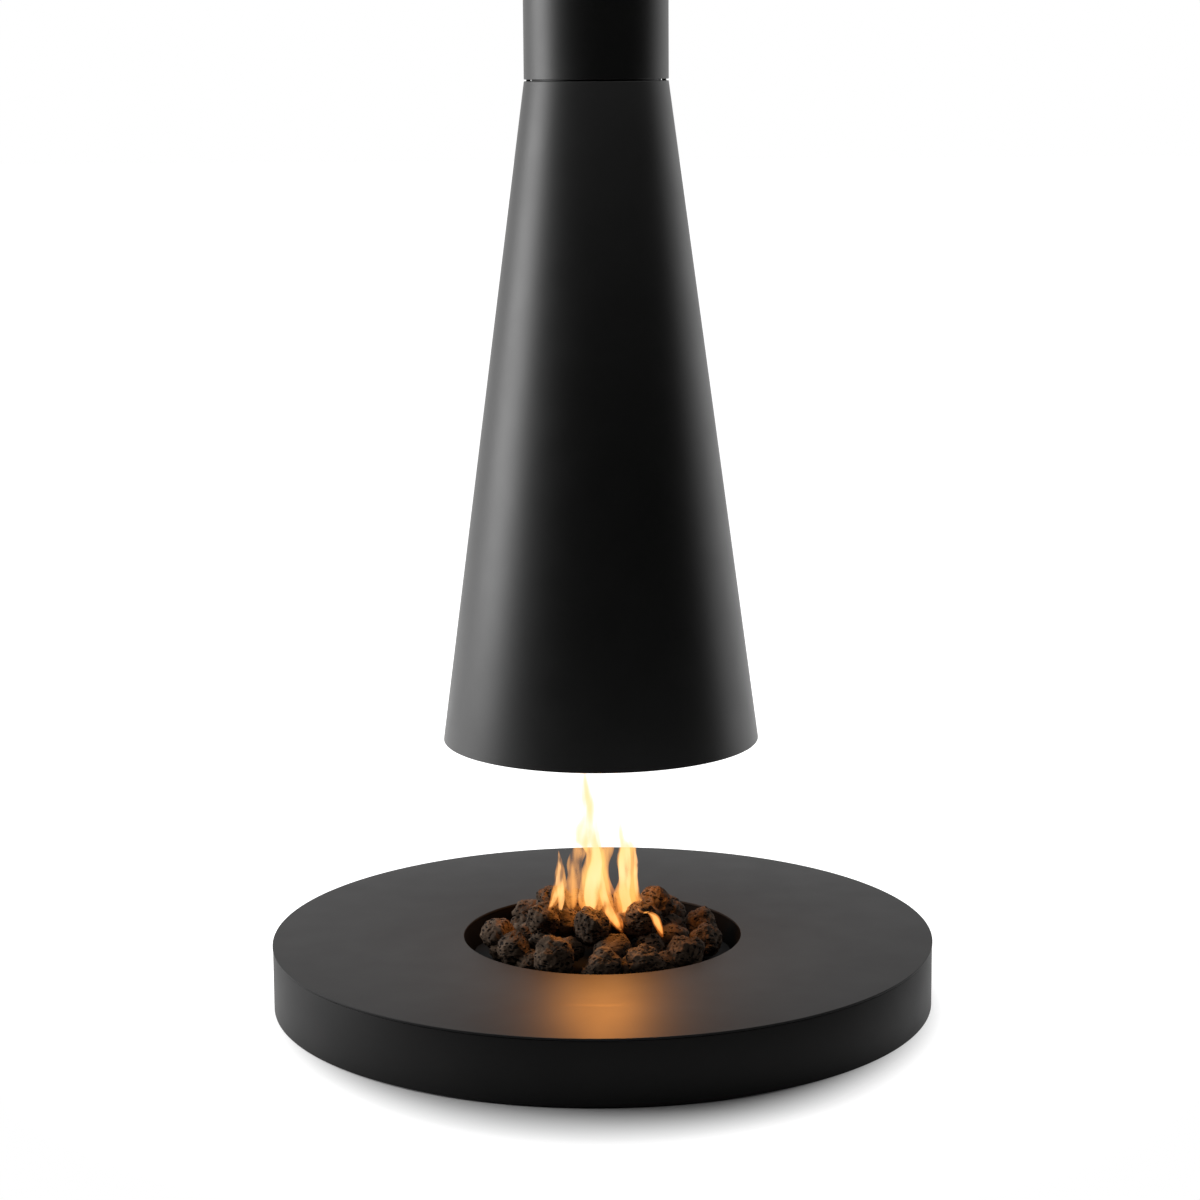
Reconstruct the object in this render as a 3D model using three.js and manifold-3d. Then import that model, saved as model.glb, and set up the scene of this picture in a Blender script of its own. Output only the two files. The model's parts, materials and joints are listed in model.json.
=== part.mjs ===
// Hanging fireplace: a conical hood on a telescopic flue, over a round gas hearth with lava stones.
// Millimetres, +Z up. The origin is on the floor, under the centre of the hearth.
// The service door of the hearth and the winch of the hood face +Y, the back.

import * as THREE from "three";
import { mergeVertices } from "three/addons/utils/BufferGeometryUtils.js";
import Module from "manifold-3d";

const wasm = await Module();
wasm.setup();

// ---------- driving sizes ----------

const gap = 0.3; // between pieces that touch
const runningGap = 0.4; // round a shaft in its hole
const holeClearance = 1.5; // round a pipe that passes a sheet
const overlap = 0.5; // how far two parts of one piece run into each other
const mergeDistance = 1e-3; // corners closer than this are one corner

const skirtSides = 96; // the skirt and its door, which meet on the curve
const largeSides = 48; // large round pieces
const mediumSides = 24; // smaller round pieces
const smallSides = 12; // pins, pipes and holes
const wireSides = 8; // pipes and hoses
const leadSides = 6; // cables and leads
const leadSteps = 18; // along a pipe, hose or lead
const turnSteps = 16; // in one turn of a cable

// hearth
const hearthRadius = 800;
const hearthHeight = 160;
const topPlateThickness = 5;
const topPlateRounding = 1.8;
const bowlOpeningRadius = 337;
const skirtSetback = 1;
const skirtThickness = 3;
const skirtShadowGap = 1.2;
const skirtFloorGap = 3;
const basePlateThickness = 4;
const plinthHeight = 12;
const plinthSetback = 60;
const plinthWidth = 60;
const ribCount = 8;
const ribThickness = 4;
const frameRingThickness = 4;
const frameRingSetback = 12;

// fire bowl, tray and burner
const bowlSetback = 3;
const bowlSheet = 2.5;
const bowlFlangeWidth = 42;
const bowlFloorRadius = 318;
const bowlFloorHeight = 60;
const trayHeight = 98;
const trayThickness = 3;
const trayClearance = 5;
const trayLegRadius = 6;
const trayLegCount = 4;
const trayLegInset = 60;
const flameHoleRadius = 6;
const flameHoleCount = 16;
const innerFlameHoleCount = 6;
const innerFlameHoleCircle = 75;
const burnerRadius = 150;
const burnerWidth = 30;
const burnerHeight = 22;
const burnerSheet = 2;
const burnerSlot = 4;
const burnerFloorGap = 5;
const pilotRadius = 5;
const pilotTubeRadius = 2;
const pilotSetback = 20;
const pilotDrop = 2; // below the top of the burner
const electrodeRadius = 4;
const electrodeTipRadius = 1;
const electrodeTipLean = 5;
const electrodeTipLength = 8;
const thermocoupleRadius = 2.5;
const sensorLeadRadius = 1.5;
const leadSpacing = 14;
const pipeRadius = 8;
const pipeWall = 1.5;
const pipeRunHeight = 40;
const pipeBendRadius = 24;

// service compartment at the back of the hearth
const doorHalfWidth = 150;
const doorSill = 28;
const doorLintel = 138;
const doorGap = 1.5;
const hingeKnuckleRadius = 4;
const hingePinRadius = 1.8;
const hingeSideGap = 2;
const fixedKnuckleHeight = 15;
const doorStopWidth = 10;
const doorFrameThickness = 3.5;
const fingerHoleRadius = 11;
const fingerHoleInset = 35;
const panelSetback = 150;
const panelHalfWidth = 110;
const panelTop = 122;
const panelSheet = 2;
const valveWidth = 90;
const valveDepth = 64;
const valveHeight = 58;
const magnetHeadRadius = 13;
const magnetHeadHeight = 14;
const valveSpindleX = 18;
const valveSpindleRadius = 5;
const knobRadius = 21;
const knobDepth = 18;
const knobPanelGap = 1;
const knobRidgeHalfWidth = 3;
const knobRidgeInset = 3;
const knobRidgeRise = 7;
const knobRise = 70;
const igniterX = -74;
const igniterRadius = 11;
const igniterDepth = 38;
const igniterCollar = 6;
const igniterCollarRadius = 9;
const buttonRadius = 6.5;
const buttonStroke = 6;
const buttonProud = 9;
const inletX = -170;
const inletSetback = 200;
const inletPipeRadius = 11;
const inletPipeFloorGap = 3;
const cockRadius = 17;
const cockSides = 6;
const cockOutletRadius = 9;
const cockStemLength = 10;
const cockHeight = 72;
const leverLength = 58;
const leverWidth = 12;
const leverThickness = 3.5;
const leverHubRadius = 9;
const hoseRadius = 6;
const hosePortHeight = 42;
const hosePortSetback = 16;

// lava stones
const stoneDetail = 1;
const stoneRoughness = 0.13;
const lumpShare = 0.66; // keeps the lumps inside the stone's radius
const stoneRoom = 2; // between a free stone and the heap
const heapRise = 0.4; // height of the heap, as a share of its radius
const moundFoot = 0.84; // radius of the mound at the tray, as a share of the heap's
const moundFlank = [
  // the mound's side: shares of the heap's radius and height
  [0.7, 0.35],
  [0.45, 0.72],
  [0.2, 1],
];

// hood
const mouthRadius = 378;
const mouthHeight = 650;
const coneTopHeight = 2206;
const flueCoverRadius = 168;
const coneSheet = 2;
const coneEdge = 1.5;
const mouthHemWidth = 14;
const coneLipWidth = 5;
const linerSheet = 1.5;
const linerGap = 3;
const linerNeckHeight = 6;
const collarThickness = 6;
const collarDrop = 3;
const lugHeight = 24;
const lugWidth = 10;
const lugDepth = 14;
const slipTubeRadius = 150;
const slipTubeSheet = 2;
const slipTubeDrop = 58;
const slipTubeHeight = 370;
const sealHeight = 16;
const sealDrop = 4;
const hoodTravel = 300; // the winch lowers the hood this far

// flue
const coverShadowGap = 4;
const coverSheet = 2;
const coverEdge = 1.5;
const coverFlangeWidth = 12;
const innerFlueRadius = 138;
const innerFlueSheet = 1.5;
const flueOverlap = 135; // left in the slip tube when the hood is down
const spigotHeight = 85;
const damperClearance = 2.5;
const damperSheet = 2;
const damperDrop = 58;
const spindleRadius = 4;
const spindleBack = 147;
const actuatorWidth = 56;
const actuatorDepth = 62;
const actuatorHeight = 60;
const actuatorSetback = 12;

// ceiling canopy and lift gear
const ceilingHeight = 2750;
const ceilingPlateThickness = 5;
const ceilingBoltRadius = 6;
const ceilingBoltCount = 6;
const canopyRadius = 290;
const canopyHeight = 112;
const canopySheet = 1.5;
const canopyEdge = 8;
const cableRadius = 2;
const cableOffset = 157;
const pulleyRadius = 22;
const pulleyWidth = 11;
const pulleyDrop = 58;
const grooveWidth = 5.4;
const flangeRise = 4;
const pulleyPinRadius = 4;
const spoolRadius = 28;
const spoolWidth = 20;
const spoolFlange = 2.5;
const spoolSetback = 178;
const windingPitch = 4.8;
const windingTurns = 2;
const winchShaftRadius = 6;
const bearingOffset = 184;
const cheekThickness = 6;
const cheekWidth = 26;
const cheekBelow = 16;
const liftPlateThickness = 4;
const gearboxWidth = 68;
const gearboxDepth = 60;
const gearboxHeight = 60;
const motorRadius = 26;
const motorLength = 52;

// ---------- levels and radii that follow ----------

const topPlateBottom = hearthHeight - topPlateThickness;
const frameTop = topPlateBottom - gap;
const basePlateBottom = plinthHeight + gap;
const basePlateTop = basePlateBottom + basePlateThickness;
const frameBottom = basePlateTop + gap;
const skirtRadius = hearthRadius - skirtSetback;
const skirtInnerRadius = skirtRadius - skirtThickness;
const skirtTop = topPlateBottom - skirtShadowGap;
const bowlRadius = bowlOpeningRadius + bowlSetback;
const bowlFlangeBottom = frameTop - bowlSheet;
const bowlFlangeRadius = bowlRadius + bowlFlangeWidth;
const frameRingRadius = bowlRadius + frameRingSetback;
const trayTop = trayHeight + trayThickness;
const burnerBottom = bowlFloorHeight + burnerFloorGap;
const burnerTop = burnerBottom + burnerHeight;
const panelY = hearthRadius - panelSetback;
const panelFront = panelY + panelSheet;
const valveBack = panelY - gap;
const valveFront = valveBack - valveDepth;
const valveBottom = knobRise - valveHeight / 2;
const inletY = hearthRadius - inletSetback;
const cockFront = inletY + cockRadius + cockStemLength;

const collarTop = coneTopHeight - collarDrop;
const slipTubeBottom = coneTopHeight - slipTubeDrop;
const slipTubeTop = coneTopHeight + slipTubeHeight;
const coverBottom = coneTopHeight + coverShadowGap;
const innerFlueBottom = slipTubeTop - hoodTravel - flueOverlap;
const canopyBottom = ceilingHeight - canopyHeight;
const canopyFloorTop = canopyBottom + canopySheet;
const ceilingPlateBottom = ceilingHeight - ceilingPlateThickness;
const damperHeight = ceilingPlateBottom - damperDrop;
const damperRadius = innerFlueRadius - innerFlueSheet - damperClearance;
const pulleyHeight = ceilingPlateBottom - pulleyDrop;
const cableTop = pulleyHeight + pulleyRadius;
const spoolHeight = cableTop - spoolRadius;
const liftPlateTop = ceilingPlateBottom - gap;
const liftPlateBottom = liftPlateTop - liftPlateThickness;

// ---------- solids ----------

const up = new THREE.Vector3(0, 1, 0);
const quarter = Math.PI / 2;

function toSolid(geometry) {
  const bare = geometry.index ? geometry.toNonIndexed() : geometry.clone();
  bare.deleteAttribute("normal");
  bare.deleteAttribute("uv");
  const merged = mergeVertices(bare, mergeDistance);
  return new wasm.Manifold(
    new wasm.Mesh({
      numProp: 3,
      vertProperties: merged.attributes.position.array,
      triVerts: new Uint32Array(merged.index.array),
    }),
  );
}

function toGeometry(solid) {
  const mesh = solid.getMesh();
  const geometry = new THREE.BufferGeometry();
  geometry.setAttribute("position", new THREE.BufferAttribute(mesh.vertProperties, 3));
  geometry.setIndex(new THREE.BufferAttribute(mesh.triVerts, 1));
  geometry.computeVertexNormals();
  return geometry;
}

function joined(first, ...others) {
  return toGeometry(others.reduce((whole, next) => whole.add(toSolid(next)), toSolid(first)));
}

function cut(first, ...others) {
  return toGeometry(others.reduce((rest, next) => rest.subtract(toSolid(next)), toSolid(first)));
}

function shared(first, second) {
  return toGeometry(toSolid(first).intersect(toSolid(second)));
}

// A profile of [radius, height] points, turned round the Z axis.
function turned(profile, sides) {
  const points = profile.map(([radius, height]) => new THREE.Vector2(radius, height));
  return new THREE.LatheGeometry(points, sides).rotateX(quarter);
}

// A closed ring of rectangular section.
function ring(innerRadius, outerRadius, bottom, top, sides) {
  return turned(
    [
      [innerRadius, bottom],
      [outerRadius, bottom],
      [outerRadius, top],
      [innerRadius, top],
      [innerRadius, bottom],
    ],
    sides,
  );
}

function block(x0, x1, y0, y1, z0, z1) {
  return new THREE.BoxGeometry(x1 - x0, y1 - y0, z1 - z0).translate(
    (x0 + x1) / 2,
    (y0 + y1) / 2,
    (z0 + z1) / 2,
  );
}

// A round bar between two points.
function bar(from, to, radius, sides = smallSides) {
  const start = new THREE.Vector3(...from);
  const along = new THREE.Vector3(...to).sub(start);
  const geometry = new THREE.CylinderGeometry(radius, radius, along.length(), sides);
  geometry.translate(0, along.length() / 2, 0);
  geometry.applyQuaternion(new THREE.Quaternion().setFromUnitVectors(up, along.clone().normalize()));
  return geometry.translate(start.x, start.y, start.z);
}

function circle(radius, sides) {
  const outline = new THREE.Shape();
  for (let i = 0; i < sides; i += 1) {
    const angle = (2 * Math.PI * i) / sides;
    const move = i === 0 ? "moveTo" : "lineTo";
    outline[move](radius * Math.cos(angle), radius * Math.sin(angle));
  }
  outline.closePath();
  return outline;
}

function swept(outline, path, steps) {
  return new THREE.ExtrudeGeometry(outline, { steps, extrudePath: path, bevelEnabled: false });
}

// A lead or hose through points laid by hand.
function lead(points, radius, sides = leadSides) {
  const path = new THREE.CatmullRomCurve3(
    points.map((point) => new THREE.Vector3(...point)),
    false,
    "centripetal",
  );
  return swept(circle(radius, sides), path, leadSteps);
}

// A circular arc or helix in the Y-Z plane, about an axis along X.
class WrapCurve extends THREE.Curve {
  constructor(centre, radius, startAngle, sweep, advance) {
    super();
    Object.assign(this, { centre, radius, startAngle, sweep, advance });
  }

  getPoint(t, target = new THREE.Vector3()) {
    const angle = this.startAngle + this.sweep * t;
    const [x, y, z] = this.centre;
    return target.set(
      x + this.advance * t,
      y + this.radius * Math.cos(angle),
      z + this.radius * Math.sin(angle),
    );
  }
}

// ---------- finishes ----------

function finish(color, roughness, metalness) {
  return new THREE.MeshStandardMaterial({ color, roughness, metalness, flatShading: true });
}

const blackPaint = finish(0x1d1d1e, 0.5, 0.3);
const heatPaint = finish(0x161616, 0.75, 0.2);
const galvanised = finish(0x9a9c9e, 0.5, 0.8);
const stainless = finish(0xb4b4b0, 0.35, 0.9);
const brass = finish(0xb9974e, 0.35, 0.9);
const lava = finish(0x4a3b33, 0.95, 0);
const blackPlastic = finish(0x151515, 0.6, 0);
const redPaint = finish(0xa62a20, 0.5, 0);
const ceramicFibre = finish(0xe6e2d8, 0.9, 0);
const castAluminium = finish(0x8d9094, 0.5, 0.8);

const fireplace = new THREE.Group();

function addPiece(group, name, geometry, material) {
  const mesh = new THREE.Mesh(geometry, material);
  mesh.name = name;
  group.add(mesh);
}

// ---------- hearth casing ----------

function topPlateGeometry() {
  const round = topPlateRounding;
  const near = round * (1 - Math.SQRT1_2);
  return turned(
    [
      [bowlOpeningRadius, topPlateBottom],
      [hearthRadius, topPlateBottom],
      [hearthRadius, hearthHeight - round],
      [hearthRadius - near, hearthHeight - near],
      [hearthRadius - round, hearthHeight],
      [bowlOpeningRadius + round, hearthHeight],
      [bowlOpeningRadius + near, hearthHeight - near],
      [bowlOpeningRadius, hearthHeight - round],
      [bowlOpeningRadius, topPlateBottom],
    ],
    largeSides,
  );
}

// The block that cuts the door's opening, or the door itself, out of a ring.
function doorBlock(halfWidth, sill, lintel) {
  return block(-halfWidth, halfWidth, 0, 2 * hearthRadius, sill, lintel);
}

function skirtGeometry() {
  const wall = ring(skirtInnerRadius, skirtRadius, skirtFloorGap, skirtTop, skirtSides);
  return cut(wall, doorBlock(doorHalfWidth, doorSill, doorLintel));
}

function basePlateGeometry() {
  const plate = turned(
    [
      [0, basePlateBottom],
      [skirtInnerRadius - gap, basePlateBottom],
      [skirtInnerRadius - gap, basePlateTop],
      [0, basePlateTop],
    ],
    largeSides,
  );
  const inletHole = bar(
    [inletX, inletY, 0],
    [inletX, inletY, basePlateTop + overlap],
    inletPipeRadius + holeClearance,
  );
  return cut(plate, inletHole);
}

// One rib of the frame, notched at its top for the flange of the fire bowl.
function ribGeometry() {
  const start = frameRingRadius + frameRingThickness / 2;
  const end = skirtInnerRadius - gap;
  const notchEnd = bowlFlangeRadius + gap;
  const notchTop = bowlFlangeBottom - gap;
  const outline = new THREE.Shape();
  outline.moveTo(start, frameBottom);
  outline.lineTo(end, frameBottom);
  outline.lineTo(end, frameTop);
  outline.lineTo(notchEnd, frameTop);
  outline.lineTo(notchEnd, notchTop);
  outline.lineTo(start, notchTop);
  outline.closePath();
  return new THREE.ExtrudeGeometry(outline, { depth: ribThickness, bevelEnabled: false })
    .translate(0, 0, -ribThickness / 2)
    .rotateX(quarter);
}

function supportFrameGeometry() {
  const inner = ring(
    frameRingRadius,
    frameRingRadius + frameRingThickness,
    frameBottom,
    bowlFlangeBottom - gap,
    largeSides,
  );
  const ribs = [];
  for (let i = 0; i < ribCount; i += 1) {
    ribs.push(ribGeometry().rotateZ((2 * Math.PI * (i + 0.5)) / ribCount));
  }
  const passage = block(
    -valveWidth / 2,
    valveWidth / 2,
    0,
    hearthRadius / 2,
    frameBottom - overlap,
    bowlFloorHeight + burnerHeight,
  );
  return cut(joined(inner, ...ribs), passage);
}

function plinthGeometry() {
  const radius = hearthRadius - plinthSetback;
  return ring(radius - plinthWidth, radius, 0, plinthHeight, mediumSides);
}

// ---------- service door ----------

const hingeRadius = skirtRadius - hingeKnuckleRadius;
const hingeX = doorHalfWidth - hingeKnuckleRadius - hingeSideGap;
const hingeY = Math.sqrt(hingeRadius ** 2 - hingeX ** 2);
const doorBottom = doorSill + doorGap;
const doorTop = doorLintel - doorGap;
const knuckleLow = doorBottom + fixedKnuckleHeight;
const knuckleHigh = doorTop - fixedKnuckleHeight;
const fingerHoleX = fingerHoleInset - doorHalfWidth;
const fingerHoleZ = (doorBottom + doorTop) / 2;

function knuckle(bottom, top) {
  const tube = ring(hingePinRadius + gap, hingeKnuckleRadius, bottom, top, smallSides);
  return tube.translate(hingeX, hingeY, 0);
}

function serviceDoorGeometry() {
  const wall = ring(skirtInnerRadius, skirtRadius, doorBottom, doorTop, skirtSides);
  const width = block(doorGap - doorHalfWidth, hingeX, 0, 2 * hearthRadius, doorBottom, doorTop);
  const notchStart = hingeX - hingeKnuckleRadius - hingeSideGap;
  const notch = (bottom, top) => block(notchStart, doorHalfWidth, 0, 2 * hearthRadius, bottom, top);
  const fingerHole = bar(
    [fingerHoleX, skirtInnerRadius / 2, fingerHoleZ],
    [fingerHoleX, 2 * hearthRadius, fingerHoleZ],
    fingerHoleRadius,
  );
  const bore = bar(
    [hingeX, hingeY, doorBottom - overlap],
    [hingeX, hingeY, doorTop + overlap],
    hingePinRadius + gap,
  );
  const panel = cut(
    shared(wall, width),
    notch(doorBottom - overlap, knuckleLow + gap),
    notch(knuckleHigh - gap, doorTop + overlap),
    fingerHole,
  );
  return cut(joined(panel, knuckle(knuckleLow + gap, knuckleHigh - gap)), bore);
}

// The stop behind the door, with the fixed knuckles of the hinge.
function doorFrameGeometry() {
  const outer = skirtInnerRadius - gap;
  const low = doorSill - doorStopWidth;
  const high = doorLintel + doorStopWidth;
  const rim = shared(
    ring(outer - doorFrameThickness, outer, low, high, skirtSides),
    doorBlock(doorHalfWidth + doorStopWidth, low, high),
  );
  const window = block(
    doorStopWidth - doorHalfWidth,
    doorHalfWidth + hingeSideGap,
    0,
    2 * hearthRadius,
    doorSill + doorStopWidth,
    doorLintel - doorStopWidth,
  );
  const knuckleRoom = block(
    hingeX - 2 * hingeKnuckleRadius,
    doorHalfWidth + hingeSideGap,
    0,
    2 * hearthRadius,
    doorSill - gap,
    doorLintel + gap,
  );
  const webLength = hingeKnuckleRadius + hingeSideGap + doorStopWidth;
  const web = (bottom, top) =>
    block(0, webLength, gap - hingeKnuckleRadius, -2 * gap, bottom, top)
      .rotateZ(-Math.asin(hingeX / hingeRadius))
      .translate(hingeX, hingeY, 0);
  const bore = bar(
    [hingeX, hingeY, doorBottom - overlap],
    [hingeX, hingeY, doorTop + overlap],
    hingePinRadius + gap,
  );
  const fixedKnuckles = [
    knuckle(doorBottom, knuckleLow),
    knuckle(knuckleHigh, doorTop),
    web(doorBottom, knuckleLow),
    web(knuckleHigh, doorTop),
  ];
  return cut(joined(cut(rim, window, knuckleRoom), ...fixedKnuckles), bore);
}

function hingePinGeometry() {
  return bar([hingeX, hingeY, doorBottom], [hingeX, hingeY, doorTop], hingePinRadius);
}

// ---------- fire bowl, tray and burner ----------

const feedHole = [0, burnerRadius];
const pilotY = burnerRadius + burnerWidth / 2 + pilotSetback;

// Leads drop through one hole each in the floor of the bowl, side by side behind the burner.
function leadX(index) {
  return (index - 1) * leadSpacing;
}

function fireBowlGeometry() {
  const under = bowlFloorHeight - bowlSheet;
  const sheet = turned(
    [
      [0, under],
      [bowlFloorRadius, under],
      [bowlRadius + bowlSheet, bowlFlangeBottom - bowlSheet],
      [bowlRadius + bowlSheet, bowlFlangeBottom],
      [bowlFlangeRadius, bowlFlangeBottom],
      [bowlFlangeRadius, frameTop],
      [bowlRadius, frameTop],
      [bowlRadius, bowlFlangeBottom - bowlSheet],
      [bowlFloorRadius - bowlSheet, bowlFloorHeight],
      [0, bowlFloorHeight],
    ],
    largeSides,
  );
  const hole = (x, y, radius) => bar([x, y, under - overlap], [x, y, bowlFloorHeight + overlap], radius);
  const leadHoles = [0, 1, 2].map((index) => hole(leadX(index), pilotY, pilotRadius + holeClearance / 2));
  return cut(sheet, hole(...feedHole, pipeRadius + holeClearance), ...leadHoles);
}

function trayGeometry() {
  const trayRadius = trayWallRadius() - trayClearance;
  const plateOutline = circle(trayRadius, mediumSides);
  const addHoles = (count, circleRadius) => {
    for (let i = 0; i < count; i += 1) {
      const angle = (2 * Math.PI * (i + 0.5)) / count;
      const hole = new THREE.Path();
      hole.absarc(
        circleRadius * Math.cos(angle),
        circleRadius * Math.sin(angle),
        flameHoleRadius,
        0,
        2 * Math.PI,
        true,
      );
      plateOutline.holes.push(hole);
    }
  };
  addHoles(flameHoleCount, burnerRadius);
  addHoles(innerFlameHoleCount, innerFlameHoleCircle);
  const plate = new THREE.ExtrudeGeometry(plateOutline, {
    depth: trayThickness,
    bevelEnabled: false,
    curveSegments: wireSides / 2,
  }).translate(0, 0, trayHeight);
  const legs = [];
  for (let i = 0; i < trayLegCount; i += 1) {
    const angle = (2 * Math.PI * (i + 0.5)) / trayLegCount;
    const x = (bowlFloorRadius - trayLegInset) * Math.cos(angle);
    const y = (bowlFloorRadius - trayLegInset) * Math.sin(angle);
    legs.push(bar([x, y, bowlFloorHeight + gap], [x, y, trayHeight + overlap], trayLegRadius));
  }
  return joined(plate, ...legs);
}

// The bowl's inner radius at the height of the tray.
function trayWallRadius() {
  const low = bowlFloorRadius - bowlSheet;
  const share = (trayHeight - bowlFloorHeight) / (bowlFlangeBottom - bowlSheet - bowlFloorHeight);
  return low + (bowlRadius - low) * share;
}

// A ring channel, closed but for the slot at its top that the flames come from.
function burnerGeometry() {
  const inner = burnerRadius - burnerWidth / 2;
  const outer = burnerRadius + burnerWidth / 2;
  const slotInner = burnerRadius - burnerSlot / 2;
  const slotOuter = burnerRadius + burnerSlot / 2;
  const channel = turned(
    [
      [inner, burnerBottom],
      [outer, burnerBottom],
      [outer, burnerTop],
      [slotOuter, burnerTop],
      [slotOuter, burnerTop - burnerSheet],
      [outer - burnerSheet, burnerTop - burnerSheet],
      [outer - burnerSheet, burnerBottom + burnerSheet],
      [inner + burnerSheet, burnerBottom + burnerSheet],
      [inner + burnerSheet, burnerTop - burnerSheet],
      [slotInner, burnerTop - burnerSheet],
      [slotInner, burnerTop],
      [inner, burnerTop],
      [inner, burnerBottom],
    ],
    mediumSides,
  );
  const [x, y] = feedHole;
  const inlet = bar(
    [x, y, burnerBottom - overlap],
    [x, y, burnerBottom + burnerSheet + overlap],
    pipeRadius - pipeWall,
  );
  return cut(channel, inlet);
}

// From under the burner, through the floor of the bowl and back to the valve.
function feedPipeGeometry() {
  const [x, y] = feedHole;
  const corner = new THREE.Vector3(x, y, pipeRunHeight);
  const path = new THREE.CurvePath();
  const bendStart = corner.clone().add(new THREE.Vector3(0, 0, pipeBendRadius / 2));
  const bendEnd = corner.clone().add(new THREE.Vector3(0, pipeBendRadius, 0));
  path.add(new THREE.LineCurve3(new THREE.Vector3(x, y, burnerBottom - gap), bendStart));
  path.add(new THREE.QuadraticBezierCurve3(bendStart, corner, bendEnd));
  path.add(new THREE.LineCurve3(bendEnd, new THREE.Vector3(x, valveFront - gap, pipeRunHeight)));
  const outline = circle(pipeRadius, wireSides);
  outline.holes.push(circle(pipeRadius - pipeWall, wireSides));
  return swept(outline, path, leadSteps);
}

// ---------- pilot, electrode and thermocouple, each with its own lead to the control end ----------

const flameHeight = burnerTop - pilotDrop;
const leadHeight = bowlFloorHeight - bowlSheet - pilotRadius;

// A stem through the floor of the bowl, with its lead running back from under it to the valve.
function stemWithLead(index, stemRadius, stemTop, leadRadius, endX) {
  const x = leadX(index);
  const stem = bar([x, pilotY, leadHeight - stemRadius / 2], [x, pilotY, stemTop], stemRadius);
  const run = [
    [x, pilotY, leadHeight],
    [x, bowlRadius, leadHeight],
    [endX, (bowlRadius + valveFront) / 2, leadHeight],
    [endX, valveFront - 2 * leadSpacing, knobRise],
    [endX, valveFront - gap, knobRise],
  ];
  return joined(stem, lead(run, leadRadius));
}

function pilotGeometry() {
  return stemWithLead(1, pilotRadius, flameHeight, pilotTubeRadius, 0);
}

function electrodeGeometry() {
  const x = leadX(0);
  const tipStart = flameHeight - electrodeTipLength;
  const stemTop = tipStart + electrodeTipRadius + electrodeTipRadius;
  const tip = bar(
    [x, pilotY, tipStart],
    [x + electrodeTipLean, pilotY, flameHeight + pilotDrop],
    electrodeTipRadius,
  );
  return joined(stemWithLead(0, electrodeRadius, stemTop, sensorLeadRadius, -2 * leadSpacing), tip);
}

function thermocoupleGeometry() {
  return stemWithLead(2, thermocoupleRadius, flameHeight, sensorLeadRadius, 2 * leadSpacing);
}

// ---------- gas controls behind the door ----------

function controlPanelGeometry() {
  const sheet = block(-panelHalfWidth, panelHalfWidth, panelY, panelFront, frameBottom, panelTop);
  const foot = block(
    -panelHalfWidth,
    panelHalfWidth,
    panelY,
    panelY + igniterDepth,
    frameBottom,
    frameBottom + panelSheet,
  );
  const hole = (x, radius) =>
    bar([x, panelY - overlap, knobRise], [x, panelFront + overlap, knobRise], radius);
  return cut(
    joined(sheet, foot),
    hole(valveSpindleX, valveSpindleRadius + 2 * runningGap),
    hole(igniterX, igniterCollarRadius + gap),
  );
}

function gasValveGeometry() {
  const valveTop = valveBottom + valveHeight;
  const body = block(-valveWidth / 2, valveWidth / 2, valveFront, valveBack, valveBottom, valveTop);
  const magnetHead = bar(
    [-valveWidth / 4, valveFront + valveDepth / 2, valveTop - overlap],
    [-valveWidth / 4, valveFront + valveDepth / 2, valveTop + magnetHeadHeight],
    magnetHeadRadius,
  );
  const spindle = bar(
    [valveSpindleX, valveBack - overlap, knobRise],
    [valveSpindleX, panelFront + knobDepth / 2, knobRise],
    valveSpindleRadius,
  );
  return joined(body, magnetHead, spindle);
}

function knobGeometry() {
  const back = panelFront + knobPanelGap;
  const front = back + knobDepth;
  const disc = bar(
    [valveSpindleX, back, knobRise],
    [valveSpindleX, front, knobRise],
    knobRadius,
    mediumSides / 2,
  );
  const ridge = block(
    valveSpindleX - knobRidgeHalfWidth,
    valveSpindleX + knobRidgeHalfWidth,
    front - overlap,
    front + knobRidgeRise,
    knobRise - knobRadius + knobRidgeInset,
    knobRise + knobRadius - knobRidgeInset,
  );
  const socket = bar(
    [valveSpindleX, back - overlap, knobRise],
    [valveSpindleX, panelFront + knobDepth / 2 + gap, knobRise],
    valveSpindleRadius + gap,
  );
  return cut(joined(disc, ridge), socket);
}

function igniterGeometry() {
  const z = knobRise;
  const front = panelFront + igniterCollar;
  const body = bar([igniterX, valveBack - igniterDepth, z], [igniterX, valveBack, z], igniterRadius);
  const collar = bar([igniterX, valveBack - overlap, z], [igniterX, front, z], igniterCollarRadius);
  const bore = bar(
    [igniterX, panelY - 2 * buttonStroke, z],
    [igniterX, front + overlap, z],
    buttonRadius + runningGap,
  );
  return cut(joined(body, collar), bore);
}

function buttonGeometry() {
  const front = panelFront + igniterCollar + buttonProud;
  return bar([igniterX, panelY - buttonStroke + gap, knobRise], [igniterX, front, knobRise], buttonRadius);
}

function cockGeometry() {
  const riser = bar([inletX, inletY, inletPipeFloorGap], [inletX, inletY, cockHeight], inletPipeRadius);
  const body = bar(
    [inletX, inletY, cockHeight - cockRadius],
    [inletX, inletY, cockHeight + cockRadius],
    cockRadius,
    cockSides,
  );
  const outlet = bar(
    [inletX, inletY, cockHeight],
    [inletX, inletY, cockHeight + 2 * cockRadius],
    cockOutletRadius,
  );
  const stem = bar([inletX, inletY, cockHeight], [inletX, cockFront, cockHeight], inletPipeRadius / 2);
  return joined(riser, body, outlet, stem);
}

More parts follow.
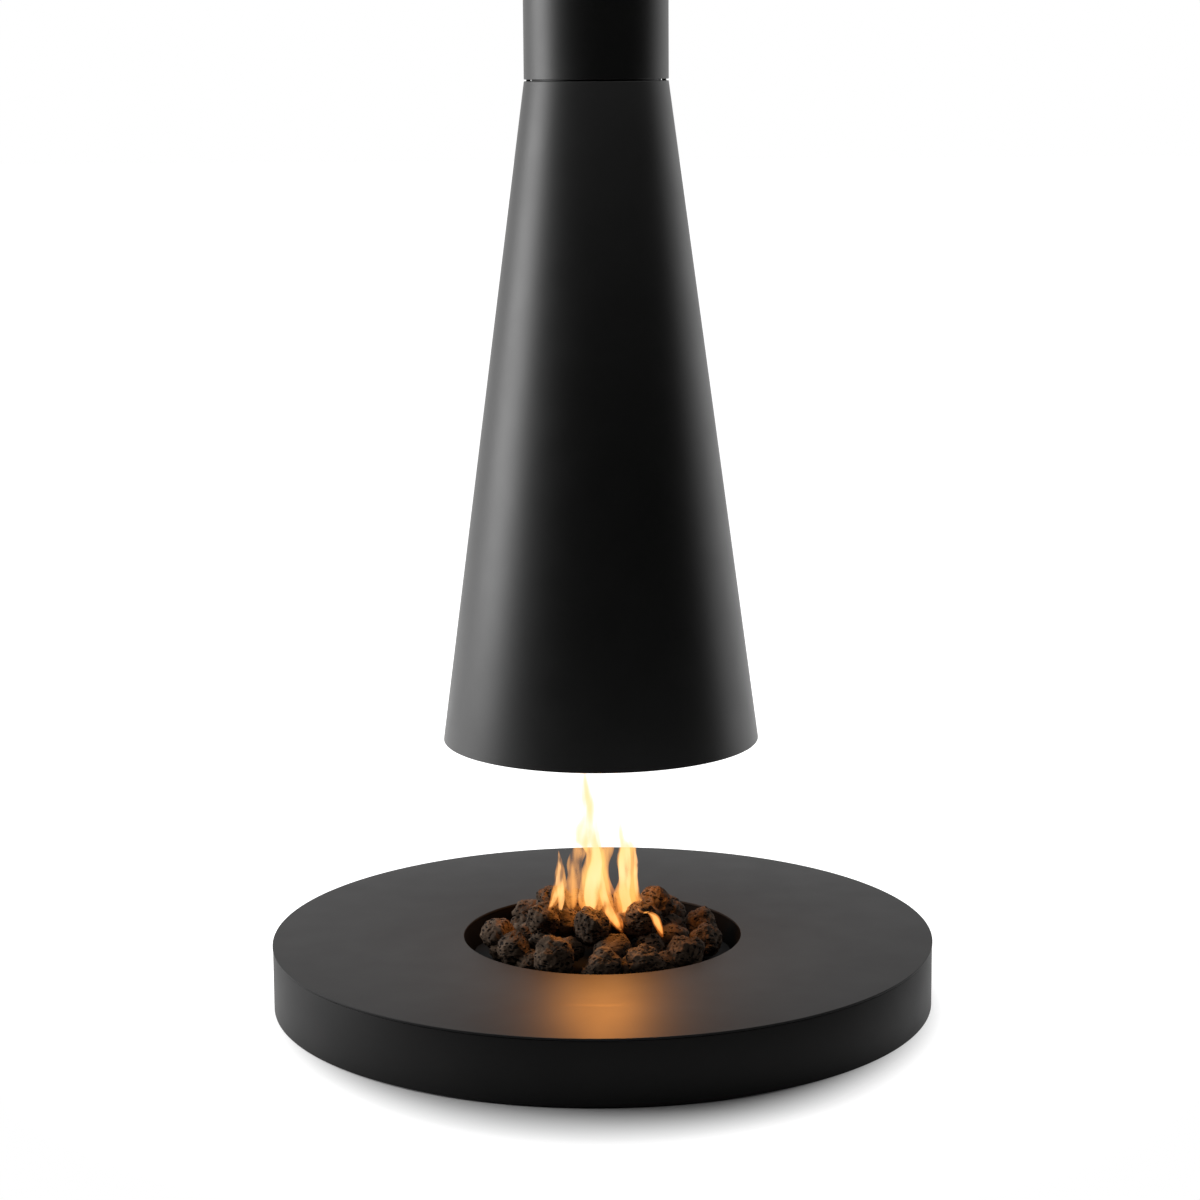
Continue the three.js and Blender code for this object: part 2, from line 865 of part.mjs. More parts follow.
function leverGeometry() {
  const start = cockFront + gap;
  const hub = bar([inletX, start, cockHeight], [inletX, start + leverThickness, cockHeight], leverHubRadius);
  const arm = block(
    inletX - leverWidth / 2,
    inletX + leverWidth / 2,
    start,
    start + leverThickness,
    cockHeight,
    cockHeight + leverLength,
  );
  return joined(hub, arm);
}

// From the top of the cock over to the side of the valve.
function hoseGeometry() {
  const start = cockHeight + 2 * cockRadius + gap;
  const end = -valveWidth / 2 - gap;
  const y = valveFront + hosePortSetback;
  return lead(
    [
      [inletX, inletY, start],
      [inletX, inletY, start + 14],
      [inletX + 22, inletY - 4, start + 28],
      [inletX + 52, y, start + 10],
      [inletX + 74, y, hosePortHeight + 26],
      [end - 22, y, hosePortHeight],
      [end, y, hosePortHeight],
    ],
    hoseRadius,
    wireSides,
  );
}

// ---------- lava stones ----------

// The heap fills the tray: places and sizes are in units of the tray's radius.
const heapRadius = trayWallRadius() - trayClearance;

// Stones that stand free at the top and the edge of the heap: x, y, height of the centre, radius.
const stoneLay = [
  [-0.79, -0.02, 0.17, 0.145],
  [-0.66, -0.38, 0.16, 0.14],
  [-0.36, -0.64, 0.19, 0.17],
  [0.01, -0.77, 0.16, 0.14],
  [0.32, -0.7, 0.16, 0.145],
  [0.61, -0.49, 0.16, 0.15],
  [0.77, -0.15, 0.16, 0.14],
  [0.74, 0.2, 0.17, 0.145],
  [0.52, 0.52, 0.18, 0.15],
  [0.18, 0.72, 0.17, 0.14],
  [-0.2, 0.71, 0.18, 0.15],
  [-0.55, 0.5, 0.18, 0.15],
  [-0.44, -0.24, 0.37, 0.14],
  [-0.08, -0.4, 0.36, 0.14],
  [0.29, -0.29, 0.36, 0.14],
  [0.42, 0.12, 0.37, 0.145],
  [-0.36, 0.16, 0.38, 0.145],
];

// A smooth lumpiness from a few waves, different for each seed.
function lump(direction, seed) {
  const { x, y, z } = direction;
  const coarse = Math.sin(3.1 * x + seed) + Math.sin(3.7 * y + 2 * seed) + Math.sin(3.3 * z - seed);
  const fine = Math.sin(7.9 * x - seed) * Math.sin(8.3 * y + seed) * Math.sin(7.1 * z + 3 * seed);
  return coarse / 3 + fine / 2;
}

function lumpy(geometry, radius, seed) {
  const place = geometry.getAttribute("position");
  const point = new THREE.Vector3();
  for (let i = 0; i < place.count; i += 1) {
    point.fromBufferAttribute(place, i).normalize();
    const size = radius * (1 - stoneRoughness + stoneRoughness * lump(point, seed) * lumpShare);
    place.setXYZ(i, point.x * size, point.y * size, point.z * size);
  }
  return geometry;
}

function stoneGeometry(index) {
  const [x, y, z, size] = stoneLay[index];
  const stone = lumpy(new THREE.IcosahedronGeometry(1, stoneDetail), size * heapRadius, index);
  return stone.translate(x * heapRadius, y * heapRadius, trayTop + z * heapRadius);
}

// The stones that lie under and between them, as one mound that the free stones are cut out of.
function bedGeometry() {
  const rise = heapRise * heapRadius;
  const flank = moundFlank.map(([reach, share]) => [reach * heapRadius, trayTop + share * rise]);
  const mound = [
    [0, trayTop + gap],
    [moundFoot * heapRadius, trayTop + gap],
    ...flank,
    [0, trayTop + rise],
  ];
  const rooms = stoneLay.map(([x, y, z, size], index) =>
    lumpy(new THREE.IcosahedronGeometry(1, stoneDetail), size * heapRadius + stoneRoom, index).translate(
      x * heapRadius,
      y * heapRadius,
      trayTop + z * heapRadius,
    ),
  );
  return cut(turned(mound, mediumSides / 2), ...rooms);
}

// ---------- hood ----------

const coneSlope = (mouthRadius - flueCoverRadius) / (coneTopHeight - mouthHeight);

function coneRadiusAt(height) {
  return mouthRadius - coneSlope * (height - mouthHeight);
}

function hoodConeGeometry() {
  const top = coneTopHeight;
  const bottom = mouthHeight;
  const lipRadius = flueCoverRadius - coneLipWidth;
  const hemRadius = mouthRadius - mouthHemWidth;
  return turned(
    [
      [hemRadius, bottom],
      [mouthRadius - coneEdge, bottom],
      [mouthRadius - coneSlope * coneEdge, bottom + coneEdge],
      [flueCoverRadius + coneSlope * coneEdge, top - coneEdge],
      [flueCoverRadius - coneEdge, top],
      [lipRadius, top],
      [lipRadius, top - coneSheet],
      [coneRadiusAt(top - coneSheet) - coneSheet, top - coneSheet],
      [coneRadiusAt(bottom + coneSheet) - coneSheet, bottom + coneSheet],
      [hemRadius, bottom + coneSheet],
      [hemRadius, bottom],
    ],
    largeSides,
  );
}

function hoodLinerGeometry() {
  const bottom = mouthHeight + coneSheet + gap;
  const bottomRadius = coneRadiusAt(bottom) - coneSheet - linerGap - mouthHemWidth / 2;
  const top = slipTubeBottom;
  const topRadius = slipTubeRadius + gap + linerSheet;
  return turned(
    [
      [bottomRadius - linerSheet, bottom],
      [bottomRadius + linerGap, bottom],
      [bottomRadius + linerGap, bottom + linerSheet],
      [bottomRadius, bottom + linerSheet],
      [topRadius, top],
      [topRadius, top + linerNeckHeight],
      [topRadius - linerSheet, top + linerNeckHeight],
      [topRadius - linerSheet, top],
      [bottomRadius - linerSheet, bottom],
    ],
    largeSides,
  );
}

// The ring that carries the cone by its lip, with a lug for each lifting cable.
function hoodCollarGeometry() {
  const inner = slipTubeRadius + gap;
  const coneInner = coneRadiusAt(collarTop) - coneSheet;
  const body = ring(inner, coneInner - gap, collarTop - collarThickness, collarTop - gap, largeSides);
  const lugs = [-1, 1].map((side) =>
    block(
      side * cableOffset - lugWidth / 2,
      side * cableOffset + lugWidth / 2,
      -lugDepth / 2,
      lugDepth / 2,
      collarTop - collarThickness + overlap,
      collarTop + lugHeight,
    ),
  );
  const bore = turned(
    [
      [0, 0],
      [inner, 0],
      [inner, ceilingHeight],
      [0, ceilingHeight],
    ],
    largeSides,
  );
  return cut(joined(body, ...lugs), bore);
}

function slipTubeGeometry() {
  return ring(slipTubeRadius - slipTubeSheet, slipTubeRadius, slipTubeBottom, slipTubeTop, largeSides);
}

function slipSealGeometry() {
  const top = slipTubeTop - sealDrop;
  return ring(
    innerFlueRadius + gap,
    slipTubeRadius - slipTubeSheet - gap,
    top - sealHeight,
    top,
    largeSides,
  );
}

// ---------- flue ----------

function flueCoverGeometry() {
  const inner = flueCoverRadius - coverSheet;
  const flangeBottom = canopyFloorTop + gap;
  const flangeTop = flangeBottom + coverSheet;
  return turned(
    [
      [inner, coverBottom],
      [flueCoverRadius - coverEdge, coverBottom],
      [flueCoverRadius, coverBottom + coverEdge],
      [flueCoverRadius, flangeBottom],
      [flueCoverRadius + coverFlangeWidth, flangeBottom],
      [flueCoverRadius + coverFlangeWidth, flangeTop],
      [inner, flangeTop],
      [inner, coverBottom],
    ],
    largeSides,
  );
}

function innerFlueGeometry() {
  const pipe = ring(
    innerFlueRadius - innerFlueSheet,
    innerFlueRadius,
    innerFlueBottom,
    ceilingHeight + spigotHeight,
    largeSides,
  );
  const spindleHole = bar(
    [0, -2 * innerFlueRadius, damperHeight],
    [0, 2 * innerFlueRadius, damperHeight],
    spindleRadius + runningGap,
  );
  return cut(pipe, spindleHole);
}

// Upright when open, as here: it lies flat across the flue when closed.
function damperBladeGeometry() {
  const disc = turned(
    [
      [0, 0],
      [damperRadius, 0],
      [damperRadius, damperSheet],
      [0, damperSheet],
    ],
    mediumSides,
  );
  return disc.rotateY(quarter).translate(spindleRadius + gap, 0, damperHeight);
}

function damperSpindleGeometry() {
  const front = -(innerFlueRadius + actuatorSetback + actuatorDepth / 2);
  return bar([0, front, damperHeight], [0, spindleBack, damperHeight], spindleRadius);
}

function damperActuatorGeometry() {
  const back = -(innerFlueRadius + actuatorSetback);
  const front = back - actuatorDepth;
  const bottom = damperHeight - actuatorHeight / 2;
  const body = block(-actuatorWidth / 2, actuatorWidth / 2, front, back, bottom, bottom + actuatorHeight);
  const hanger = block(
    -actuatorWidth / 4,
    actuatorWidth / 4,
    front + actuatorDepth / 4,
    back - actuatorDepth / 4,
    bottom + actuatorHeight - overlap,
    ceilingPlateBottom - gap,
  );
  const socket = bar(
    [0, back + overlap, damperHeight],
    [0, back - actuatorDepth / 2 - overlap, damperHeight],
    spindleRadius + runningGap,
  );
  return cut(joined(body, hanger), socket);
}

// ---------- ceiling plate and canopy ----------

function ceilingPlateGeometry() {
  const radius = canopyRadius - canopySheet - gap;
  const outline = circle(radius, largeSides);
  outline.holes.push(circle(innerFlueRadius + gap, largeSides));
  for (let i = 0; i < ceilingBoltCount; i += 1) {
    const angle = (2 * Math.PI * i) / ceilingBoltCount;
    const hole = new THREE.Path();
    const boltCircle = (radius + innerFlueRadius) / 2;
    hole.absarc(
      boltCircle * Math.cos(angle),
      boltCircle * Math.sin(angle),
      ceilingBoltRadius,
      0,
      2 * Math.PI,
      true,
    );
    outline.holes.push(hole);
  }
  return new THREE.ExtrudeGeometry(outline, {
    depth: ceilingPlateThickness,
    bevelEnabled: false,
    curveSegments: wireSides / 2,
  }).translate(0, 0, ceilingPlateBottom);
}

function canopyGeometry() {
  const hole = flueCoverRadius + gap;
  const near = canopyEdge * (1 - Math.SQRT1_2);
  return turned(
    [
      [hole, canopyBottom],
      [canopyRadius - canopyEdge, canopyBottom],
      [canopyRadius - near, canopyBottom + near],
      [canopyRadius, canopyBottom + canopyEdge],
      [canopyRadius, ceilingHeight - gap],
      [canopyRadius - canopySheet, ceilingHeight - gap],
      [canopyRadius - canopySheet, canopyBottom + canopyEdge],
      [canopyRadius - canopyEdge, canopyFloorTop],
      [hole, canopyFloorTop],
      [hole, canopyBottom],
    ],
    largeSides,
  );
}

// ---------- lift gear ----------

function liftFrameGeometry() {
  const halfLength = bearingOffset + cheekThickness;
  const front = -cheekWidth / 2;
  const back = spoolSetback + cheekWidth / 2;
  const plate = cut(
    block(-halfLength, halfLength, front, back, liftPlateBottom, liftPlateTop),
    turned(
      [
        [0, 0],
        [innerFlueRadius + 2 * gap, 0],
        [innerFlueRadius + 2 * gap, 2 * ceilingHeight],
        [0, 2 * ceilingHeight],
      ],
      largeSides,
    ),
  );
  const pieces = [];
  const bores = [];
  for (const side of [-1, 1]) {
    const cheek = side * bearingOffset;
    pieces.push(
      block(
        cheek - cheekThickness / 2,
        cheek + cheekThickness / 2,
        front + pulleyRadius,
        front + pulleyRadius + cheekWidth,
        pulleyHeight - cheekBelow,
        liftPlateBottom + overlap,
      ),
      block(
        cheek - cheekThickness / 2,
        cheek + cheekThickness / 2,
        spoolSetback - cheekWidth / 2,
        spoolSetback + cheekWidth / 2,
        spoolHeight - cheekBelow,
        liftPlateBottom + overlap,
      ),
      bar(
        [cheek, pulleyRadius, pulleyHeight],
        [side * (cableOffset - pulleyWidth / 2), pulleyRadius, pulleyHeight],
        pulleyPinRadius,
      ),
    );
    bores.push(
      bar(
        [cheek - cheekThickness, spoolSetback, spoolHeight],
        [cheek + cheekThickness, spoolSetback, spoolHeight],
        winchShaftRadius + runningGap,
      ),
    );
  }
  const hanger = block(
    -gearboxWidth / 2,
    gearboxWidth / 2,
    spoolSetback - cheekWidth / 2,
    spoolSetback + cheekWidth / 2,
    spoolHeight + gearboxHeight / 2 + gap,
    liftPlateBottom + overlap,
  );
  return cut(joined(plate, hanger, ...pieces), ...bores);
}

function winchMotorGeometry() {
  const y0 = spoolSetback - gearboxDepth / 2;
  const y1 = spoolSetback + gearboxDepth / 2;
  const z0 = spoolHeight - gearboxHeight / 2;
  const gearbox = block(-gearboxWidth / 2, gearboxWidth / 2, y0, y1, z0, z0 + gearboxHeight);
  const motor = bar(
    [0, y1 - overlap, spoolHeight],
    [0, y1 + motorLength, spoolHeight],
    motorRadius,
    mediumSides / 2,
  );
  const bore = bar(
    [-gearboxWidth, spoolSetback, spoolHeight],
    [gearboxWidth, spoolSetback, spoolHeight],
    winchShaftRadius + runningGap,
  );
  return cut(joined(gearbox, motor), bore);
}

// A flanged roller on the Z axis, centred on the origin: a pulley or a cable spool.
function rollerGeometry(coreRadius, width, groove, bore) {
  const half = width / 2;
  const rim = coreRadius + 2 * cableRadius + flangeRise;
  return turned(
    [
      [bore, -half],
      [rim, -half],
      [rim, -groove / 2],
      [coreRadius, -groove / 2],
      [coreRadius, groove / 2],
      [rim, groove / 2],
      [rim, half],
      [bore, half],
      [bore, -half],
    ],
    mediumSides / 2,
  ).rotateY(quarter);
}

function pulleyGeometry(side) {
  const core = pulleyRadius - cableRadius - 2 * gap;
  return rollerGeometry(core, pulleyWidth, grooveWidth, pulleyPinRadius + runningGap).translate(
    side * cableOffset,
    pulleyRadius,
    pulleyHeight,
  );
}

const spoolCore = spoolRadius - cableRadius - 2 * gap;

// The cable comes onto the spool at one end of its width and winds towards the middle.
function spoolCentre(side) {
  return side * (cableOffset - (windingTurns * windingPitch) / 2);
}

function winchShaftGeometry() {
  const end = bearingOffset + cheekThickness;
  const shaft = bar([-end, spoolSetback, spoolHeight], [end, spoolSetback, spoolHeight], winchShaftRadius);
  const spools = [-1, 1].map((side) =>
    rollerGeometry(spoolCore, spoolWidth, spoolWidth - 2 * spoolFlange, winchShaftRadius - overlap).translate(
      spoolCentre(side),
      spoolSetback,
      spoolHeight,
    ),
  );
  return joined(shaft, ...spools);
}

// Up from the lug, over the pulley and round the spool, as one wire rope.
function liftCableGeometry(side) {
  const x = side * cableOffset;
  const start = collarTop + lugHeight + gap;
  const strand = circle(cableRadius, leadSides);
  const turn = new WrapCurve([x, pulleyRadius, pulleyHeight], pulleyRadius, Math.PI, -quarter, 0);
  const winding = new WrapCurve(
    [x, spoolSetback, spoolHeight],
    spoolRadius,
    quarter,
    -2 * Math.PI * windingTurns,
    -side * windingTurns * windingPitch,
  );
  const riser = bar([x, 0, start], [x, 0, pulleyHeight + overlap], cableRadius, leadSides);
  const run = bar(
    [x, pulleyRadius - overlap, cableTop],
    [x, spoolSetback + overlap, cableTop],
    cableRadius,
    leadSides,
  );
  return joined(
    riser,
    swept(strand, turn, turnSteps / 4),
    run,
    swept(strand, winding, turnSteps * windingTurns),
  );
}

// ---------- assembly ----------

const hearth = new THREE.Group();
addPiece(hearth, "hearth_top_plate", topPlateGeometry(), blackPaint);
addPiece(hearth, "hearth_skirt", skirtGeometry(), blackPaint);
addPiece(hearth, "base_plate", basePlateGeometry(), galvanised);
addPiece(hearth, "support_frame", supportFrameGeometry(), galvanised);
addPiece(hearth, "plinth_ring", plinthGeometry(), galvanised);
addPiece(hearth, "fire_bowl", fireBowlGeometry(), heatPaint);
addPiece(hearth, "media_tray", trayGeometry(), heatPaint);
addPiece(hearth, "burner_ring", burnerGeometry(), stainless);
addPiece(hearth, "burner_feed_pipe", feedPipeGeometry(), stainless);
addPiece(hearth, "pilot_burner", pilotGeometry(), stainless);
addPiece(hearth, "spark_electrode", electrodeGeometry(), ceramicFibre);
addPiece(hearth, "thermocouple", thermocoupleGeometry(), brass);
addPiece(hearth, "lava_bed", bedGeometry(), lava);
stoneLay.forEach((_, index) => {
  addPiece(hearth, `lava_stone_${index + 1}`, stoneGeometry(index), lava);
});
fireplace.add(hearth);

const controls = new THREE.Group();
addPiece(controls, "door_frame", doorFrameGeometry(), galvanised);
addPiece(controls, "door_hinge_pin", hingePinGeometry(), stainless);
addPiece(controls, "service_door", serviceDoorGeometry(), blackPaint);
addPiece(controls, "control_panel", controlPanelGeometry(), galvanised);
addPiece(controls, "gas_valve", gasValveGeometry(), castAluminium);
addPiece(controls, "control_knob", knobGeometry(), blackPlastic);
addPiece(controls, "piezo_igniter", igniterGeometry(), blackPlastic);
addPiece(controls, "igniter_button", buttonGeometry(), redPaint);
addPiece(controls, "shutoff_cock", cockGeometry(), brass);
addPiece(controls, "shutoff_lever", leverGeometry(), redPaint);
addPiece(controls, "gas_hose", hoseGeometry(), stainless);
fireplace.add(controls);

const hood = new THREE.Group();
addPiece(hood, "hood_cone", hoodConeGeometry(), blackPaint);
addPiece(hood, "hood_liner", hoodLinerGeometry(), heatPaint);
addPiece(hood, "hood_collar", hoodCollarGeometry(), galvanised);
addPiece(hood, "slip_tube", slipTubeGeometry(), blackPaint);
addPiece(hood, "slip_seal", slipSealGeometry(), ceramicFibre);
fireplace.add(hood);

const flue = new THREE.Group();
addPiece(flue, "flue_cover", flueCoverGeometry(), blackPaint);
addPiece(flue, "inner_flue", innerFlueGeometry(), stainless);
addPiece(flue, "damper_blade", damperBladeGeometry(), stainless);
addPiece(flue, "damper_spindle", damperSpindleGeometry(), stainless);
addPiece(flue, "damper_actuator", damperActuatorGeometry(), blackPlastic);
addPiece(flue, "ceiling_plate", ceilingPlateGeometry(), galvanised);
addPiece(flue, "ceiling_canopy", canopyGeometry(), blackPaint);
fireplace.add(flue);

const liftGear = new THREE.Group();
addPiece(liftGear, "lift_frame", liftFrameGeometry(), galvanised);
addPiece(liftGear, "winch_motor", winchMotorGeometry(), castAluminium);
addPiece(liftGear, "winch_shaft", winchShaftGeometry(), stainless);
for (const [side, place] of [
  [-1, "left"],
  [1, "right"],
]) {
  addPiece(liftGear, `pulley_${place}`, pulleyGeometry(side), castAluminium);
  addPiece(liftGear, `lift_cable_${place}`, liftCableGeometry(side), stainless);
}
fireplace.add(liftGear);

export default fireplace;
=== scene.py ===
# Hanging fireplace: a conical hood on a telescopic flue, over a round gas hearth with lava stones.
# Metres, +Z up, the origin on the floor under the centre of the hearth. The front faces -Y.

import json
import math
import random

import bmesh
import bpy
from mathutils import Matrix, Vector, noise


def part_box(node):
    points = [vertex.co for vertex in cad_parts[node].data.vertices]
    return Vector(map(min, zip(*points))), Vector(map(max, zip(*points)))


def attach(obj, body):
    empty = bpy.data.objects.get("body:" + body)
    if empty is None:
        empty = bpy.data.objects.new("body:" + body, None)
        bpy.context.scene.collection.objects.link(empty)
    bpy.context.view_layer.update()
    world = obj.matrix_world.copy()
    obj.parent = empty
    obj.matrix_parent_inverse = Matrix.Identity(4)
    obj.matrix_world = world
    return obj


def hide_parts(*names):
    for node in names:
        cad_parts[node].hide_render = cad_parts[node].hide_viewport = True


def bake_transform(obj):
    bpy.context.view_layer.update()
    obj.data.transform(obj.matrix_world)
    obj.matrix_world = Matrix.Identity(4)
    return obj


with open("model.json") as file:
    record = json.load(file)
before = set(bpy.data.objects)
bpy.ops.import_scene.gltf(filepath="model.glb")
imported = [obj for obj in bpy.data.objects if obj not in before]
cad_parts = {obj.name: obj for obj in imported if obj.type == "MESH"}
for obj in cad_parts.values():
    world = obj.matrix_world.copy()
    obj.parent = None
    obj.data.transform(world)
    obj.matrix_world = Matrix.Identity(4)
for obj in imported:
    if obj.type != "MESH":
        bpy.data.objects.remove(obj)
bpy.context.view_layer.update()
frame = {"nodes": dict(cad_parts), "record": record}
scene = bpy.context.scene


# ---------- camera ----------
# A long lens seven metres from the hearth and above head height, looking down by ten degrees.
# Distance, height, tilt and roll were fitted to the edges of the hearth and the hood.

camera_distance = 7.0
camera_height = 2.2587
camera_tilt = 0.1801
camera_roll = -0.0072
image_pixels = 1200
focal_pixels = 2978.9

camera = bpy.data.objects.new("camera", bpy.data.cameras.new("camera"))
scene.collection.objects.link(camera)
camera.data.sensor_width = 36.0
camera.data.lens = camera.data.sensor_width * focal_pixels / image_pixels
camera.data.clip_end = 100.0
camera.matrix_world = (
    Matrix.Translation((0, -camera_distance, camera_height))
    @ Matrix.Rotation(math.pi / 2 - camera_tilt, 4, "X")
    @ Matrix.Rotation(camera_roll, 4, "Z")
)
scene.camera = camera
scene.view_settings.view_transform = "Standard"


# ---------- studio ----------
# A plain white room: a pale floor that keeps the shadow of the hearth, and soft light boxes at the
# left and right of the fireplace and above it. Round the hearth the floor also has a painted shadow,
# where the glow that whitens it fades out. A dark drape hangs behind the camera and lies on the
# floor there, so the satin paint stays black in the middle and shines at its sides.


def material(name):
    """A new node material; returns it with its node tree, its surface shader and its output."""
    made = bpy.data.materials.new(name)
    made.use_nodes = True
    tree = made.node_tree
    return made, tree, tree.nodes["Principled BSDF"], tree.nodes["Material Output"]


def seen_directly(tree):
    """A factor that is one for rays that show the background, straight, mirrored or through glass."""
    path = tree.nodes.new("ShaderNodeLightPath")
    either = tree.nodes.new("ShaderNodeMath")
    either.operation = "MAXIMUM"
    tree.links.new(path.outputs["Is Camera Ray"], either.inputs[0])
    tree.links.new(path.outputs["Is Glossy Ray"], either.inputs[1])
    any_of = tree.nodes.new("ShaderNodeMath")
    any_of.operation = "MAXIMUM"
    tree.links.new(either.outputs[0], any_of.inputs[0])
    tree.links.new(path.outputs["Is Transmission Ray"], any_of.inputs[1])
    return any_of.outputs[0]


floor_color = (0.42, 0.42, 0.42, 1)
floor_half = 60.0
floor_glow = 1.0
# The glow is cut away close round the hearth and comes back in full further out, squeezed at the sides: a
# painted shadow round its foot.
painted_shadow_inner = 0.82
painted_shadow_outer = 1.15
painted_shadow_side_squeeze = 1.3

floor_mesh = bpy.data.meshes.new("floor")
floor_mesh.from_pydata(
    [(x * floor_half, y * floor_half, 0) for x, y in ((-1, -1), (1, -1), (1, 1), (-1, 1))],
    [],
    [(0, 1, 2, 3)],
)
floor = bpy.data.objects.new("floor", floor_mesh)
scene.collection.objects.link(floor)
floor_material, tree, surface, output = material("floor_white")
surface.inputs["Base Color"].default_value = floor_color
surface.inputs["Roughness"].default_value = 0.9
surface.inputs["Specular IOR Level"].default_value = 0.0
grain = tree.nodes.new("ShaderNodeTexNoise")
grain.inputs["Scale"].default_value = 60.0
bump = tree.nodes.new("ShaderNodeBump")
bump.inputs["Strength"].default_value = 0.02
tree.links.new(grain.outputs["Fac"], bump.inputs["Height"])
tree.links.new(bump.outputs["Normal"], surface.inputs["Normal"])
glow = tree.nodes.new("ShaderNodeEmission")
from_centre = tree.nodes.new("ShaderNodeVectorMath")
from_centre.operation = "LENGTH"
widened = tree.nodes.new("ShaderNodeMapping")
widened.inputs["Scale"].default_value = (painted_shadow_side_squeeze, 1, 1)
tree.links.new(tree.nodes.new("ShaderNodeTexCoord").outputs["Object"], widened.inputs["Vector"])
tree.links.new(widened.outputs["Vector"], from_centre.inputs[0])
# Painted shadow: the glow fades to nothing towards the hearth.
outward = tree.nodes.new("ShaderNodeMapRange")
outward.interpolation_type = "SMOOTHSTEP"
outward.inputs["From Min"].default_value = painted_shadow_inner
outward.inputs["From Max"].default_value = painted_shadow_outer
outward.inputs["To Max"].default_value = floor_glow
tree.links.new(from_centre.outputs["Value"], outward.inputs["Value"])
glow_outside_painted_shadow = tree.nodes.new("ShaderNodeMath")
glow_outside_painted_shadow.operation = "MULTIPLY"
tree.links.new(outward.outputs["Result"], glow_outside_painted_shadow.inputs[1])
tree.links.new(seen_directly(tree), glow_outside_painted_shadow.inputs[0])
tree.links.new(glow_outside_painted_shadow.outputs[0], glow.inputs["Strength"])
both = tree.nodes.new("ShaderNodeAddShader")
tree.links.new(surface.outputs[0], both.inputs[0])
tree.links.new(glow.outputs[0], both.inputs[1])
tree.links.new(both.outputs[0], output.inputs["Surface"])
floor.data.materials.append(floor_material)

room_fill = 0.32
world = bpy.data.worlds.new("room")
world.use_nodes = True
scene.world = world
tree = world.node_tree
background = tree.nodes["Background"]
room_white = tree.nodes.new("ShaderNodeMapRange")
room_white.inputs["To Min"].default_value = room_fill
room_white.inputs["To Max"].default_value = 1.0
tree.links.new(seen_directly(tree), room_white.inputs["Value"])
tree.links.new(room_white.outputs["Result"], background.inputs["Strength"])
background.inputs["Color"].default_value = (1, 1, 1, 1)


def light_box(name, place, aim, width, height, power):
    lamp = bpy.data.lights.new(name, "AREA")
    lamp.shape = "RECTANGLE"
    lamp.size = width
    lamp.size_y = height
    lamp.energy = power
    box = bpy.data.objects.new(name, lamp)
    box.location = place
    box.rotation_euler = (Vector(aim) - Vector(place)).to_track_quat("-Z", "Y").to_euler()
    box.visible_camera = False
    scene.collection.objects.link(box)
    return box


light_box("light_left", (-4.4, 0.5, 1.9), aim=(0, 0, 1.1), width=2.4, height=3.7, power=215)
light_box("light_right", (3.6, 3.3, 2.0), aim=(0, 0, 1.2), width=1.2, height=3.8, power=10)
light_box("light_top", (-0.4, 1.4, 5.4), aim=(0, 0, 0), width=4.6, height=4.6, power=225)

drape_near = 1.5
drape_radius = 9.0
drape_height = 6.0
drape_from = math.radians(-165)
drape_to = math.radians(10)
drape_steps = 48
drape_lift = 0.004
drape_mesh = bpy.data.meshes.new("drape")
drape_points = []
for i in range(drape_steps + 1):
    angle = drape_from + (drape_to - drape_from) * i / drape_steps
    hem = ((drape_near, drape_lift), (drape_radius, drape_lift), (drape_radius, drape_height))
    for radius, height in hem:
        drape_points.append((radius * math.cos(angle), radius * math.sin(angle), height))
drape_mesh.from_pydata(
    drape_points,
    [],
    [
        (3 * i + k, 3 * i + k + 3, 3 * i + k + 4, 3 * i + k + 1)
        for i in range(drape_steps)
        for k in (0, 1)
    ],
)
drape = bpy.data.objects.new("drape", drape_mesh)
drape.visible_camera = False
scene.collection.objects.link(drape)
drape_cloth, tree, surface, output = material("drape_cloth")
weave = tree.nodes.new("ShaderNodeTexNoise")
weave.inputs["Scale"].default_value = 40.0
cloth_tone = tree.nodes.new("ShaderNodeMapRange")
cloth_tone.inputs["To Min"].default_value = 0.015
cloth_tone.inputs["To Max"].default_value = 0.03
tree.links.new(weave.outputs["Fac"], cloth_tone.inputs["Value"])
tree.links.new(cloth_tone.outputs["Result"], surface.inputs["Base Color"])
surface.inputs["Roughness"].default_value = 1.0
surface.inputs["Specular IOR Level"].default_value = 0.0
drape.data.materials.append(drape_cloth)


# ---------- sheet steel and its paint ----------
# Hearth, hood and flue are rolled or spun from sheet steel and powder coated: a fine, even orange
# peel, a faint cloudiness from the gun, and a sheen that differs a little from place to place.


def object_coordinates(tree):
    return tree.nodes.new("ShaderNodeTexCoord").outputs["Object"]


def texture(tree, kind, where, scale, **inputs):
    made = tree.nodes.new(kind)
    made.inputs["Scale"].default_value = scale
    for name, value in inputs.items():
        made.inputs[name].default_value = value
    tree.links.new(where, made.inputs["Vector"])
    return made


def ramp(tree, value, low, high, dark, light):
    """The value, stretched from low..high to a colour between dark and light."""
    made = tree.nodes.new("ShaderNodeValToRGB")
    made.color_ramp.elements[0].position = low
    made.color_ramp.elements[0].color = (*dark, 1)
    made.color_ramp.elements[1].position = high
    made.color_ramp.elements[1].color = (*light, 1)
    tree.links.new(value, made.inputs["Fac"])
    return made.outputs["Color"]


def spread(tree, value, low, high):
    made = tree.nodes.new("ShaderNodeMapRange")
    made.inputs["To Min"].default_value = low
    made.inputs["To Max"].default_value = high
    tree.links.new(value, made.inputs["Value"])
    return made.outputs["Result"]


def bumped(tree, surface, height, strength, distance):
    """Adds a bump over any that the surface already has."""
    made = tree.nodes.new("ShaderNodeBump")
    made.inputs["Strength"].default_value = strength
    made.inputs["Distance"].default_value = distance
    tree.links.new(height, made.inputs["Height"])
    normal = surface.inputs["Normal"]
    if normal.is_linked:
        tree.links.new(normal.links[0].from_socket, made.inputs["Normal"])
    tree.links.new(made.outputs["Normal"], normal)


